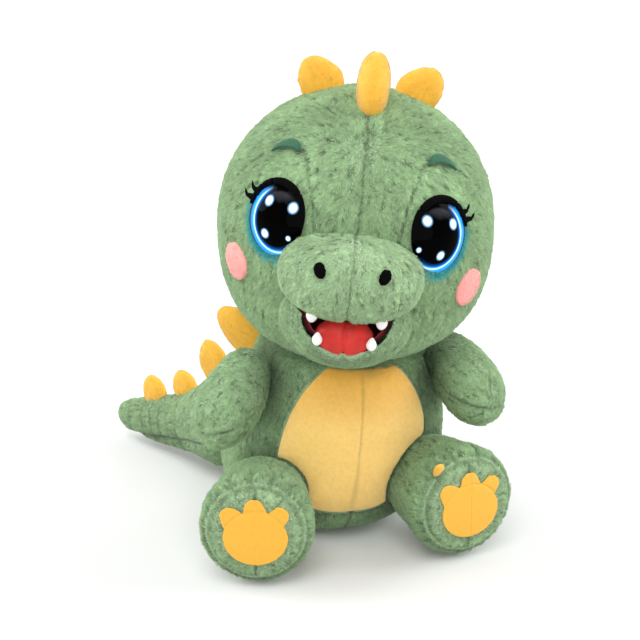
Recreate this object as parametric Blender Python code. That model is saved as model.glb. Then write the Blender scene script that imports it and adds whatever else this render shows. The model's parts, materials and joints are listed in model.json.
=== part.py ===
"""Stuffed dinosaur, sitting with its legs forward, its head turned and its tail to one side.

The toy faces -Y and its own left is +X. The origin is the middle of the seat, on the floor.
"""
import math

import bmesh
import bpy
from mathutils import Matrix, Vector

# Fits
GAP = 0.0003
TURN_GAP = 0.0008
SKIN = 0.004
FILL_PLAY = 0.0018

# Torso: (height, radius) from the seat up, and how far its top leans under the head
TORSO_PROFILE = (
    (0.000, 0.042), (0.003, 0.0505), (0.010, 0.0600), (0.022, 0.0680), (0.040, 0.0722),
    (0.058, 0.0720), (0.076, 0.0690), (0.094, 0.0640), (0.110, 0.0585), (0.124, 0.0525), (0.136, 0.0460),
)
TORSO_LEAN = Vector((0.007, -0.016, 0.0))
TORSO_LEAN_HEIGHT = 0.13
TORSO_TOP = TORSO_PROFILE[-1][0]
TORSO_SIDES = 32
NECK_HOLE = 0.026
NECK_WALL = 0.0105
BAG_RADIUS = 0.046
BAG_HEIGHT = 0.0256
BAG_TO_STUFFING = 0.0008
BELLY_AZIMUTH = 40.5
BELLY_TURN = -1.5
BELLY_LOW = 0.0235
BELLY_HIGH = 0.1240
BELLY_THICK = 0.0018

# Head: a ball, fuller below its middle, its underside sunk in the torso's top
HEAD_OVER = (0.0128, -0.024)
HEAD_SINK = 0.0215
HEAD_RADIUS = 0.0875
HEAD_UP = 0.0840
HEAD_DOWN = 0.0875
HEAD_FULLNESS = 2.6
HEAD_YAW = -15.3
HEAD_ROLL = 6.0
HEAD_OPENING = 0.030
HEAD_SIDES = 32
HEAD_RINGS = 13
HEAD_LINING_RINGS = 7
HEAD_LOW = TORSO_TOP - HEAD_SINK
HEAD_CENTRE = Vector((*HEAD_OVER, HEAD_LOW + HEAD_DOWN))

# Face, in the head's own frame: azimuth and elevation in degrees, half widths in metres
EYE_AT = (34.9, 9.9)
EYE_HALF = (0.0192, 0.0215)
EYE_LEAN = 8.0
EYE_RIM = 0.0012
EYE_DOME = 0.0065
EYE_STEM = 0.0028
EYE_STEM_LENGTH = 0.013
WASHER_RADIUS = 0.0095
WASHER_THICK = 0.0028
WASHER_PLAY = 0.0007
LID_OUTSIDE = 0.0022
LID_LIFT = 0.0019
LID_THICK = 0.0013
BROW_AT = (44.8, 39.2)
BROW_HALF = (0.0095, 0.0042)
BROW_THICK = 0.0016
BROW_LEAN = -4.0
CHEEK_AT = (55.7, -14.5)
CHEEK_HALF = (0.0122, 0.0114)
CHEEK_THICK = 0.0022

# Muzzle and mouth: (aside, out from the head's front, below its middle) and half widths
FACE_ASIDE = -0.0010
MUZZLE_AT = (0.0, -0.0020, 0.0100)
MUZZLE_HALF = Vector((0.0424, 0.035, 0.0253))
MUZZLE_FULLNESS = 2.25
NOSTRIL_AT = (0.0168, 24.0)
NOSTRIL_HALF = (0.0036, 0.0052)
NOSTRIL_LEAN = 12.0
NOSTRIL_THICK = 0.0014
JAW_AT = (0.0, -0.0100, 0.0395)
JAW_HALF = Vector((0.0405, 0.033, 0.030))
MOUTH_AT = (0.0, -0.0050, 0.0355)
MOUTH_HALF = Vector((0.0305, 0.034, 0.022))
LINING = 0.0012
LINING_EDGE = 0.0012
TONGUE_AT = (0.0, 0.0085, 0.0440)
TONGUE_HALF = Vector((0.0165, 0.0095, 0.0105))
TOOTH_HALF = Vector((0.0036, 0.0030, 0.0038))
TOOTH_UPPER_AT = (0.0213, 0.0135, 0.0355)
TOOTH_LOWER_AT = (0.0180, 0.0172, 0.0428)

# Fins: width along the base, height, thickness, and how far the tip leans along the base
CREST_MIDDLE = (0.050, 0.0268, 0.0185, -0.004)
CREST_MIDDLE_AT = (0.001, -0.018)
CREST_SIDE = (0.034, 0.0195, 0.0125, 0.004)
CREST_SIDE_AT = (0.0285, 0.012)
CREST_SIDE_TILT = Vector((0.05, 0.02, 0.12))
BACK_FIN = (0.036, 0.0350, 0.0125, 0.0)
BACK_FIN_AT = (231.0, 0.108)
BACK_FIN_RISE = 0.25
TAIL_FINS = ((0.030, 0.0195, 0.010, 0.0), (0.025, 0.0145, 0.010, 0.0), (0.024, 0.0155, 0.010, 0.0))
TAIL_FIN_REACH = (0.004, 0.037, 0.0685)
TAIL_FIN_SLOPE = 0.25
TAB = (0.010, 0.0080, 0.003, 0.0)
TAB_ANGLE = 128.0
TAB_ALONG = 0.93

# Arms: the ball bedded in the shoulder, the way each points, and (distance, radius) along it
SHOULDER_AZIMUTH = 75.0
SHOULDER_HEIGHT = 0.105
SHOULDER_OUT = 0.008
ARM_BALL = 0.0175
ARM_PROFILE = (
    (0.006, 0.0185), (0.018, 0.0208), (0.036, 0.0222), (0.049, 0.0212), (0.060, 0.0168), (0.066, 0.0100),
    (0.0685, 0.0),
)
ARM_FLATNESS = 0.90
ARM_WAY_RIGHT = Vector((-0.500, -0.832, -0.240))
ARM_WAY_LEFT = Vector((0.090, -0.980, -0.172))
ARM_MOUTH = 0.0055

# Legs: where the sole stands, the way it faces, and the ball that beds in the hip
SOLE_RIGHT = (-0.0725, -0.1145)
SOLE_LEFT = (0.0645, -0.1060)
LEG_AZIMUTH_RIGHT = -17.0
LEG_AZIMUTH_LEFT = 13.0
LEG_RISE = 1.0
LEG_LENGTH = 0.043
HIP_BALL = 0.031
FOOT_RADIUS = 0.0355
LEG_SWELL = ((0.0, 0.05), (0.06, 0.18), (0.50, 0.36), (0.90, 0.56), (1.0, 0.72), (0.8, 0.85))
FOOT_LIFT = 0.001
SOLE_RADIUS = 0.0290
SOLE_THICK = 0.005
SOLE_CROWN = 0.0006
PAD_THICK = 0.0016
PAD_HALF = (0.0200, 0.0178)
PAD_DROP = 0.0027
TOES = ((-0.0155, 0.0136), (-0.0006, 0.0190), (0.0143, 0.0144))
TOE_RADIUS = 0.0066

# Tail: out at the back, to the toy's right; (distance, radius) from the ball bedded in the torso
TAIL_AZIMUTH = 34.5
TAIL_BALL = 0.036
TAIL_OUT = 0.0163
TAIL_LIFT = 0.0015
TAIL_PROFILE = (
    (0.021, 0.0272), (0.040, 0.0205), (0.066, 0.0168), (0.090, 0.0132), (0.105, 0.0085), (0.111, 0.0),
)
TAIL_TIP_HEIGHT = 0.0140
TAIL_SAG = 0.0045
TAIL_MOUTH = 0.016

# Seams: thread, and the openings of the torso's skin that it runs round
THREAD = 0.0011
SEAM_HOLE = 0.012
RING_SIDES = 14
SHOULDER_HOLE = 0.0060

GREEN = (0.27, 0.42, 0.26)
PALE_GREEN = (0.34, 0.50, 0.32)
YELLOW = (0.93, 0.47, 0.06)
GOLD = (0.86, 0.52, 0.16)
PINK = (0.90, 0.25, 0.21)
MAROON = (0.10, 0.005, 0.008)
RED = (0.75, 0.06, 0.05)
BLACK = (0.012, 0.013, 0.016)
DARK_GREEN = (0.03, 0.12, 0.06)
WHITE = (0.88, 0.88, 0.86)
FILL = (0.90, 0.90, 0.88)
BAG_CLOTH = (0.75, 0.72, 0.66)
WASHER_WHITE = (0.80, 0.80, 0.80)
THREAD_GREEN = (0.20, 0.33, 0.20)

SIDES = (("right", -1.0), ("left", 1.0))


def clear_scene():
    for obj in list(bpy.data.objects):
        bpy.data.objects.remove(obj, do_unlink=True)


def paint(obj, colour, rough=0.9):
    mat = bpy.data.materials.new(obj.name + "_material")
    mat.use_nodes = True
    shader = mat.node_tree.nodes["Principled BSDF"]
    shader.inputs["Base Color"].default_value = (*colour, 1.0)
    shader.inputs["Roughness"].default_value = rough
    shader.inputs["Metallic"].default_value = 0.0
    obj.data.materials.append(mat)


def solid(name, verts, faces, frame, colour, rough=0.9):
    """One closed mesh under its own name, facing out and shaded smooth."""
    mesh = bpy.data.meshes.new(name)
    mesh.from_pydata([tuple(v) for v in verts], [], faces)
    bm = bmesh.new()
    bm.from_mesh(mesh)
    bmesh.ops.recalc_face_normals(bm, faces=bm.faces)
    bm.to_mesh(mesh)
    bm.free()
    mesh.shade_smooth()
    mesh.set_sharp_from_angle(angle=math.radians(50.0))
    obj = bpy.data.objects.new(name, mesh)
    bpy.context.collection.objects.link(obj)
    obj.matrix_world = frame
    if colour is not None:
        paint(obj, colour, rough)
    return obj


def as_cutter(obj):
    obj.hide_render = True
    obj.display_type = "WIRE"
    return obj


def cut(obj, tool, operation="DIFFERENCE"):
    mod = obj.modifiers.new("cut_" + tool.name, "BOOLEAN")
    mod.operation = operation
    mod.solver = "EXACT"
    mod.object = tool


def pivot(name, at):
    empty = bpy.data.objects.new(name, None)
    bpy.context.collection.objects.link(empty)
    empty.location = at
    empty.empty_display_size = 0.02
    return empty


def hang(obj, empty):
    """Parents a piece to the empty on its joint's axis, leaving it where it is."""
    obj.parent = empty
    obj.matrix_parent_inverse = Matrix.Translation(empty.location).inverted()


def aim(origin, direction, roll_towards=Vector((0.0, 0.0, 1.0))):
    """A frame at origin whose local Z runs along direction and whose local Y leans to roll_towards."""
    z = direction.normalized()
    x = roll_towards.cross(z)
    if x.length < 1e-6:
        x = Vector((1.0, 0.0, 0.0))
    x.normalize()
    y = z.cross(x)
    rot = Matrix((x, y, z)).transposed().to_4x4()
    return Matrix.Translation(origin) @ rot


def compass(azimuth, elevation=0.0):
    """Unit direction: azimuth from straight ahead (-Y) towards +X, elevation above the floor."""
    a = math.radians(azimuth)
    e = math.radians(elevation)
    return Vector((math.sin(a) * math.cos(e), -math.cos(a) * math.cos(e), math.sin(e)))


def lathe_mesh(profile, sides):
    """Rings of points about Z for each (radius, height), with a single point where the radius is 0."""
    verts = []
    rings = []
    for radius, height in profile:
        if radius < 1e-7:
            rings.append([len(verts)])
            verts.append(Vector((0.0, 0.0, height)))
            continue
        ring = []
        for i in range(sides):
            a = 2.0 * math.pi * i / sides
            ring.append(len(verts))
            verts.append(Vector((radius * math.cos(a), radius * math.sin(a), height)))
        rings.append(ring)
    return verts, bridge(rings)


def bridge(rings, closed=False):
    """Faces between neighbouring rings, as fans where a ring is one point."""
    faces = []
    pairs = list(zip(rings, rings[1:]))
    if closed:
        pairs.append((rings[-1], rings[0]))
    for low, high in pairs:
        count = max(len(low), len(high))
        for i in range(count):
            j = (i + 1) % count
            if len(low) == 1:
                faces.append((low[0], high[j], high[i]))
            elif len(high) == 1:
                faces.append((low[i], low[j], high[0]))
            else:
                faces.append((low[i], low[j], high[j], high[i]))
    return faces


def turned(name, profile, sides, frame, colour, rough=0.9, bend=None):
    """A turned piece; bend moves each of its points."""
    verts, faces = lathe_mesh(profile, sides)
    if bend is not None:
        verts = [bend(v) for v in verts]
    return solid(name, verts, faces, frame, colour, rough)


def flat_ring(name, bore, radius, low, high, sides, frame, colour, rough=0.9):
    """A flat ring about a frame's Z axis, from low to high along it."""
    verts = []
    rings = []
    for i in range(sides):
        a = 2.0 * math.pi * i / sides
        ring = []
        for r, z in ((bore, low), (radius, low), (radius, high), (bore, high)):
            ring.append(len(verts))
            verts.append(Vector((r * math.cos(a), r * math.sin(a), z)))
        rings.append(ring)
    return solid(name, verts, bridge(rings, closed=True), frame, colour, rough)


def ball(name, centre, radius, sides=24, colour=None):
    rings = sides // 2
    profile = []
    for i in range(rings + 1):
        a = math.pi * i / rings
        profile.append((radius * math.sin(a) if 0 < i < rings else 0.0, -radius * math.cos(a)))
    return turned(name, profile, sides, Matrix.Translation(centre), colour)


def ellipsoid(name, centre, half, frame, sides, colour, grow=0.0, fullness=2.0, rough=0.9):
    """An ellipsoid in a frame, squarer where fullness is over 2, its half widths changed by grow."""
    rings = sides // 2
    verts = []
    ring_list = []
    for i in range(rings + 1):
        a = math.pi * i / rings
        if i in (0, rings):
            ring_list.append([len(verts)])
            verts.append(Vector((0.0, 0.0, -math.cos(a))))
            continue
        ring = []
        for j in range(sides):
            b = 2.0 * math.pi * j / sides
            ring.append(len(verts))
            verts.append(Vector((math.sin(a) * math.cos(b), math.sin(a) * math.sin(b), -math.cos(a))))
        ring_list.append(ring)
    size = Vector((half.x + grow, half.y + grow, half.z + grow))
    points = []
    for v in verts:
        swell = sum(abs(c) ** fullness for c in v) ** (-1.0 / fullness)
        points.append(Vector((v.x * size.x, v.y * size.y, v.z * size.z)) * swell + centre)
    return solid(name, points, bridge(ring_list), frame, colour, rough)


def tube(name, points, radii, sides, frame, colour, rough=0.9, closed=False):
    """A round cord through points, with its ends drawn to a point unless it is closed."""
    verts = []
    rings = []
    count = len(points)
    for i, centre in enumerate(points):
        if radii[i] < 1e-7:
            rings.append([len(verts)])
            verts.append(centre)
            continue
        before = points[(i - 1) % count] if closed or i > 0 else points[i]
        after = points[(i + 1) % count] if closed or i < count - 1 else points[i]
        along = (after - before).normalized()
        turn = aim(centre, along, Vector((0.13, 0.21, 0.97)))
        ring = []
        for j in range(sides):
            a = 2.0 * math.pi * j / sides
            ring.append(len(verts))
            verts.append(turn @ Vector((radii[i] * math.cos(a), radii[i] * math.sin(a), 0.0)))
        rings.append(ring)
    return solid(name, verts, bridge(rings, closed), frame, colour, rough)


def ring_cord(name, frame, radius):
    """A ring of thread about a frame's Z axis."""
    verts = []
    rings = []
    for i in range(RING_SIDES):
        a = 2.0 * math.pi * i / RING_SIDES
        ring = []
        for j in range(4):
            b = 2.0 * math.pi * j / 4
            r = radius + THREAD * math.cos(b)
            ring.append(len(verts))
            verts.append(Vector((r * math.cos(a), r * math.sin(a), THREAD * math.sin(b))))
        rings.append(ring)
    return solid(name, verts, bridge(rings, closed=True), frame, THREAD_GREEN)


def plug(name, frame, radius, low, high, sides):
    """A round plug about a frame's Z axis, to cut a hole with."""
    profile = ((0.0, low), (radius, low), (radius, high), (0.0, high))
    return as_cutter(turned(name, profile, sides, frame, None))


def patch(name, place, outline, sides, rings, low, crown, colour, rough=0.9):
    """A sewn-on piece of cloth: place(u, v, h) puts a flat point on a surface at height h,
    outline(angle) is its edge, crown(s) its upper height at s from the middle (0) to the edge (1)."""
    verts = [place(0.0, 0.0, low)]
    ring_list = [[0]]
    for side in (0, 1):
        steps = range(1, rings + 1) if side == 0 else range(rings, 0, -1)
        for k in steps:
            s = k / rings
            ring = []
            for i in range(sides):
                u, v = outline(2.0 * math.pi * i / sides)
                ring.append(len(verts))
                verts.append(place(u * s, v * s, low if side == 0 else crown(s)))
            ring_list.append(ring)
    ring_list.append([len(verts)])
    verts.append(place(0.0, 0.0, crown(0.0)))
    return solid(name, verts, bridge(ring_list), Matrix.Identity(4), colour, rough)


def oval(half, lean=0.0):
    c = math.cos(math.radians(lean))
    s = math.sin(math.radians(lean))

    def edge(t):
        u = half[0] * math.cos(t)
        v = half[1] * math.sin(t)
        return u * c + v * s, v * c - u * s
    return edge


def fin(name, root, outward, along, size, sides=16):
    """A stuffed fin: a rounded leaf with a seam round its edge, its foot sunk in what it is sewn to."""
    width, height, thick, lean = size
    out = outward.normalized()
    run = (along - out * along.dot(out)).normalized()
    across = out.cross(run)
    sink = 0.35 * height
    verts = []
    ring_list = []
    steps = (0.0, 0.45, 0.8, 1.0, 0.8, 0.45, 0.0)
    middle = 0.30 * height
    for k, s in enumerate(steps):
        sign = 1.0 if k < 3 else -1.0
        lift = sign * 0.5 * thick * math.sqrt(max(0.0, 1.0 - s * s))
        points = []
        for i in range(sides):
            t = 2.0 * math.pi * i / sides
            rise = 0.5 + 0.5 * math.sin(t)
            b = -sink + (height + sink) * rise
            a = 0.5 * width * math.cos(t) * (1.0 - 0.42 * rise) + lean * rise * rise
            points.append((a * s, middle + (b - middle) * s))
        if s == 0.0:
            points = [(0.0, middle)]
        ring = []
        for a, b in points:
            ring.append(len(verts))
            verts.append(root + run * a + out * b + across * lift)
        ring_list.append(ring)
    return solid(name, verts, bridge(ring_list), Matrix.Identity(4), YELLOW)


def smooth_profile(knots, count):
    """Evenly spread points on a smooth curve through (a, b) knots."""
    points = []
    last = len(knots) - 1
    for i in range(count + 1):
        t = last * i / count
        k = min(int(t), last - 1)
        f = t - k
        p = [Vector(knots[min(max(k + o, 0), last)]) for o in (-1, 0, 1, 2)]
        q = 0.5 * (2.0 * p[1] + (p[2] - p[0]) * f + (2.0 * p[0] - 5.0 * p[1] + 4.0 * p[2] - p[3]) * f * f
                   + (3.0 * p[1] - p[0] - 3.0 * p[2] + p[3]) * f * f * f)
        points.append((q.x, q.y))
    points[0] = tuple(knots[0])
    points[-1] = tuple(knots[-1])
    return points


# Torso surface
def torso_lean(z):
    t = min(max(z / TORSO_LEAN_HEIGHT, 0.0), 1.0)
    return TORSO_LEAN * (t * t * (3.0 - 2.0 * t))


def torso_radius(z):
    knots = TORSO_PROFILE
    for (z0, r0), (z1, r1) in zip(knots, knots[1:]):
        if z <= z1:
            return r0 + (r1 - r0) * (z - z0) / (z1 - z0)
    return knots[-1][1]


def torso_point(azimuth, z, h=0.0):
    """A point on the torso's side, h outside it along its normal."""
    out = compass(azimuth)
    slope = (torso_radius(z + 0.003) - torso_radius(z - 0.003)) / 0.006
    normal = Vector((out.x, out.y, -slope)).normalized()
    return torso_lean(z) + out * torso_radius(z) + Vector((0.0, 0.0, z)) + normal * h, normal


def torso_solid(name, inset, sides, colour, floor=None, top=None):
    """The torso's form, inset from its surface; floor and top cut it short."""
    low = TORSO_PROFILE[0][0] + inset if floor is None else floor
    high = TORSO_PROFILE[-1][0] if top is None else top
    knots = [(z, r) for z, r in TORSO_PROFILE if low < z < high]
    heights = [low] + [z for z, r in knots] + [high]
    profile = [(0.0, low)] + [(torso_radius(max(z, 0.0)) - inset, z) for z in heights] + [(0.0, high)]
    verts, faces = lathe_mesh(profile, sides)
    verts = [v + torso_lean(v.z) for v in verts]
    return solid(name, verts, faces, Matrix.Identity(4), colour)


# Head surface
HEAD_TURN = Matrix.Rotation(math.radians(HEAD_YAW), 4, "Z")
HEAD_TURN = HEAD_TURN @ Matrix.Rotation(math.radians(HEAD_ROLL), 4, "Y")
HEAD_FRAME = Matrix.Translation(HEAD_CENTRE) @ HEAD_TURN


def head_reach(d):
    """Distance from the head's middle to its surface along the unit direction d."""
    flat = math.hypot(d.x, d.y) / HEAD_RADIUS
    if d.z >= 0.0:
        return 1.0 / math.sqrt(flat * flat + (d.z / HEAD_UP) ** 2)
    return (flat ** HEAD_FULLNESS + (-d.z / HEAD_DOWN) ** HEAD_FULLNESS) ** (-1.0 / HEAD_FULLNESS)


def head_run(inset, rings):
    """(radius, height) points down the head, inset from its surface, from its crown to its opening."""
    least = -math.degrees(math.acos(HEAD_OPENING / HEAD_DOWN))
    points = []
    for i in range(rings + 1):
        el = 90.0 + (least - 90.0) * i / rings
        reach = head_reach(compass(0.0, el)) - inset
        points.append((reach * math.cos(math.radians(el)), reach * math.sin(math.radians(el))))
    points[0] = (0.0, points[0][1])
    return points


def head_solid(name, inset, colour=None):
    """The head's whole ball, inset from its surface, with the same facets as its skin."""
    profile = head_run(inset, HEAD_RINGS) + [(0.0, inset - HEAD_DOWN)]
    return turned(name, profile, HEAD_SIDES, Matrix.Translation(HEAD_CENTRE), colour)


def on_head(azimuth, elevation):
    """A place function about a point of the face, u to the toy's left and v up."""
    middle = compass(azimuth, elevation)
    across = compass(azimuth + 90.0)
    up = across.cross(-middle).normalized()
    if up.z < 0.0:
        up = -up

    def place(u, v, h):
        d = (middle + (across * u + up * v) / HEAD_RADIUS).normalized()
        d = (HEAD_TURN @ d).normalized()
        return HEAD_CENTRE + d * (head_reach(d) + h)
    return place


def head_axis(azimuth, elevation):
    """A frame on the head's surface with local Z straight out."""
    d = (HEAD_TURN @ compass(azimuth, elevation)).normalized()
    return aim(HEAD_CENTRE + d * head_reach(d), d)


def lining_depth(axis, radius):
    """How deep the facets of the head's lining come, below the surface, under a disc about an axis."""
    ring_step = (0.5 * math.pi + math.acos(HEAD_OPENING / HEAD_DOWN)) / HEAD_LINING_RINGS
    facet = HEAD_RADIUS * (2.0 - math.cos(math.pi / HEAD_SIDES) - math.cos(0.5 * ring_step))
    inward = axis.inverted()
    depths = []
    for i in range(16):
        a = 2.0 * math.pi * i / 16
        rim = axis @ Vector((radius * math.cos(a), radius * math.sin(a), 0.0))
        d = (rim - HEAD_CENTRE).normalized()
        depths.append(-(inward @ (HEAD_CENTRE + d * (head_reach(d) - SKIN - facet))).z)
    return max(depths)


def in_face(at):
    """A point of the head's frame: aside, out from the head's front and below its middle."""
    return Vector((FACE_ASIDE + at[0], -HEAD_RADIUS - at[1], -at[2]))


def muzzle_shape(name, grow, colour=None):
    return ellipsoid(name, in_face(MUZZLE_AT), MUZZLE_HALF, HEAD_FRAME, 22, colour, grow, MUZZLE_FULLNESS)


def mouth_shape(name, grow, colour=None):
    return ellipsoid(name, in_face(MOUTH_AT), MOUTH_HALF, HEAD_FRAME, 20, colour, grow)


def jaw_shape(name, grow, colour=None):
    return ellipsoid(name, in_face(JAW_AT), JAW_HALF, HEAD_FRAME, 22, colour, grow)


clear_scene()

neck = pivot("neck_pivot", Vector((*HEAD_OVER, HEAD_LOW)))

# Clearances that smaller pieces are cut by
head_clear = as_cutter(head_solid("head_clear", -GAP))
head_cup = as_cutter(head_solid("head_cup", -TURN_GAP))
torso_clear = as_cutter(torso_solid("torso_clear", -GAP, TORSO_SIDES, None))
muzzle_clear = as_cutter(muzzle_shape("muzzle_clear", GAP))

# Joint places
tail_out = compass(180.0 + TAIL_AZIMUTH)
tail_height = TAIL_BALL + TAIL_LIFT
tail_at = tail_out * (max(r for z, r in TORSO_PROFILE) + TAIL_OUT) + Vector((0.0, 0.0, tail_height))
tail_drop = math.degrees(math.atan2(TAIL_TIP_HEIGHT - tail_height, TAIL_PROFILE[-1][0]))
tail_along = compass(180.0 + TAIL_AZIMUTH, tail_drop)
sole_height = FOOT_RADIUS + FOOT_LIFT
leg_ways = {"right": compass(LEG_AZIMUTH_RIGHT, LEG_RISE), "left": compass(LEG_AZIMUTH_LEFT, LEG_RISE)}
soles = {"right": Vector((*SOLE_RIGHT, sole_height)), "left": Vector((*SOLE_LEFT, sole_height))}
hips = {side: soles[side] - leg_ways[side] * LEG_LENGTH for side, sign in SIDES}
shoulders = {}
for side, sign in SIDES:
    shoulders[side] = torso_point(sign * SHOULDER_AZIMUTH, SHOULDER_HEIGHT, SHOULDER_OUT)
arm_ways = {"right": ARM_WAY_RIGHT, "left": ARM_WAY_LEFT}

sockets = [("tail_socket", tail_at, TAIL_BALL)]
sockets += [("hip_socket_" + side, hips[side], HIP_BALL) for side, sign in SIDES]
sockets += [("shoulder_socket_" + side, shoulders[side][0], ARM_BALL) for side, sign in SIDES]

# Torso: skin, stuffing, a bag of pellets in the seat
hollow_top = HEAD_LOW - NECK_WALL
bag_low = SKIN + 2.0 * GAP
bag_high = bag_low + BAG_HEIGHT
torso_skin = torso_solid("torso_skin", 0.0, TORSO_SIDES, GREEN)
torso_hollow = as_cutter(torso_solid("torso_hollow", SKIN, 16, None, top=hollow_top))
torso_stuffing = torso_solid("torso_stuffing", SKIN + GAP, 16, FILL, floor=bag_high + BAG_TO_STUFFING,
                             top=hollow_top - GAP)
for name, at, size in sockets:
    cut(torso_skin, as_cutter(ball(name, at, size + TURN_GAP, 22)))
    cut(torso_hollow, as_cutter(ball(name + "_wall", at, size + TURN_GAP + SKIN, 14)))
    cut(torso_stuffing, as_cutter(ball(name + "_fill", at, size + TURN_GAP + SKIN + FILL_PLAY, 14)))
cut(torso_skin, head_cup)
cut(torso_skin, torso_hollow)

# What each limb keeps clear of outside its own socket: the torso, with the belly's panel on it
torso_rooms = {}
for name, at, size in sockets:
    room = torso_solid(name + "_room", -BELLY_THICK - TURN_GAP, TORSO_SIDES, None)
    torso_rooms[name] = as_cutter(room)
    cut(torso_rooms[name], as_cutter(ball(name + "_clear", at, size + GAP, 20)))

neck_frame = Matrix.Translation(torso_lean(HEAD_LOW))
cut(torso_skin, plug("neck_hole", neck_frame, NECK_HOLE, hollow_top - SKIN, TORSO_TOP + SKIN, RING_SIDES))

bag_shape = ((0.0, 0.0), (0.72, 0.0), (0.95, 0.21), (1.0, 0.445), (0.95, 0.72), (0.70, 0.934), (0.0, 1.0))
pellet_bag = turned("pellet_bag", [(BAG_RADIUS * r, bag_low + BAG_HEIGHT * h) for r, h in bag_shape], 18,
                    Matrix.Translation(torso_lean(0.5 * (bag_low + bag_high))), BAG_CLOTH)
for name, at, size in sockets:
    cut(pellet_bag, bpy.data.objects[name + "_fill"])

belly_mid = 0.5 * (BELLY_LOW + BELLY_HIGH)


def on_belly(u, v, h):
    return torso_point(BELLY_TURN + u * BELLY_AZIMUTH, belly_mid + v * 0.5 * (BELLY_HIGH - BELLY_LOW), h)[0]


def belly_edge(t):
    c = math.cos(t)
    s = math.sin(t)
    power = 0.8
    u = math.copysign(abs(c) ** power, c) * (1.0 - 0.10 * s)
    return u, math.copysign(abs(s) ** power, s)


belly_panel = patch("belly_panel", on_belly, belly_edge, 28, 3, -BELLY_THICK,
                    lambda s: BELLY_THICK * (1.0 - 0.45 * s * s), GOLD)
cut(belly_panel, torso_clear)
cut(belly_panel, head_cup)
for side, sign in SIDES:
    cut(belly_panel, bpy.data.objects["hip_socket_" + side])

back_at, back_normal = torso_point(*BACK_FIN_AT)
upright = Vector((0.0, 0.0, 1.0))
back_fin = fin("back_fin", back_at, back_normal + upright * BACK_FIN_RISE, upright, BACK_FIN)
cut(back_fin, torso_clear)
cut(back_fin, head_cup)

# Head: skin open at the neck, stuffing, and the sewn face
head_place = Matrix.Translation(HEAD_CENTRE)
head_wall = head_run(0.0, HEAD_RINGS) + head_run(SKIN, HEAD_LINING_RINGS)[::-1]
head_skin = turned("head_skin", head_wall, HEAD_SIDES, head_place, GREEN)
head_fill = head_run(SKIN + 2.0 * GAP, HEAD_LINING_RINGS)
head_fill.append((0.0, head_fill[-1][1]))
head_stuffing = turned("head_stuffing", head_fill, HEAD_SIDES, head_place, FILL)
for obj in (head_skin, head_stuffing):
    hang(obj, neck)
muzzle = muzzle_shape("muzzle", 0.0, PALE_GREEN)
cut(muzzle, head_clear)
hang(muzzle, neck)

lower_jaw = jaw_shape("lower_jaw", 0.0, GREEN)
for tool in (head_clear, muzzle_clear, as_cutter(mouth_shape("mouth_opening", 0.0))):
    cut(lower_jaw, tool)
hang(lower_jaw, neck)

mouth_room = as_cutter(mouth_shape("mouth_room", -GAP - LINING))
cut(mouth_room, as_cutter(head_solid("head_lined", -GAP - LINING)))
jaw_inside = as_cutter(jaw_shape("jaw_inside", -LINING_EDGE))
mouth_lining = mouth_shape("mouth_lining", -GAP, MAROON)
for tool in (mouth_room, head_clear, muzzle_clear):
    cut(mouth_lining, tool)
cut(mouth_lining, jaw_inside, "INTERSECT")
hang(mouth_lining, neck)

tongue = ellipsoid("tongue", in_face(TONGUE_AT), TONGUE_HALF, HEAD_FRAME, 16, RED, rough=0.45)
cut(tongue, as_cutter(head_solid("tongue_back", -2.0 * GAP - LINING)))
cut(tongue, muzzle_clear)
tongue_bed = as_cutter(mouth_shape("tongue_bed", -2.0 * GAP - LINING))
cut(tongue, tongue_bed, "INTERSECT")
hang(tongue, neck)

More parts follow.
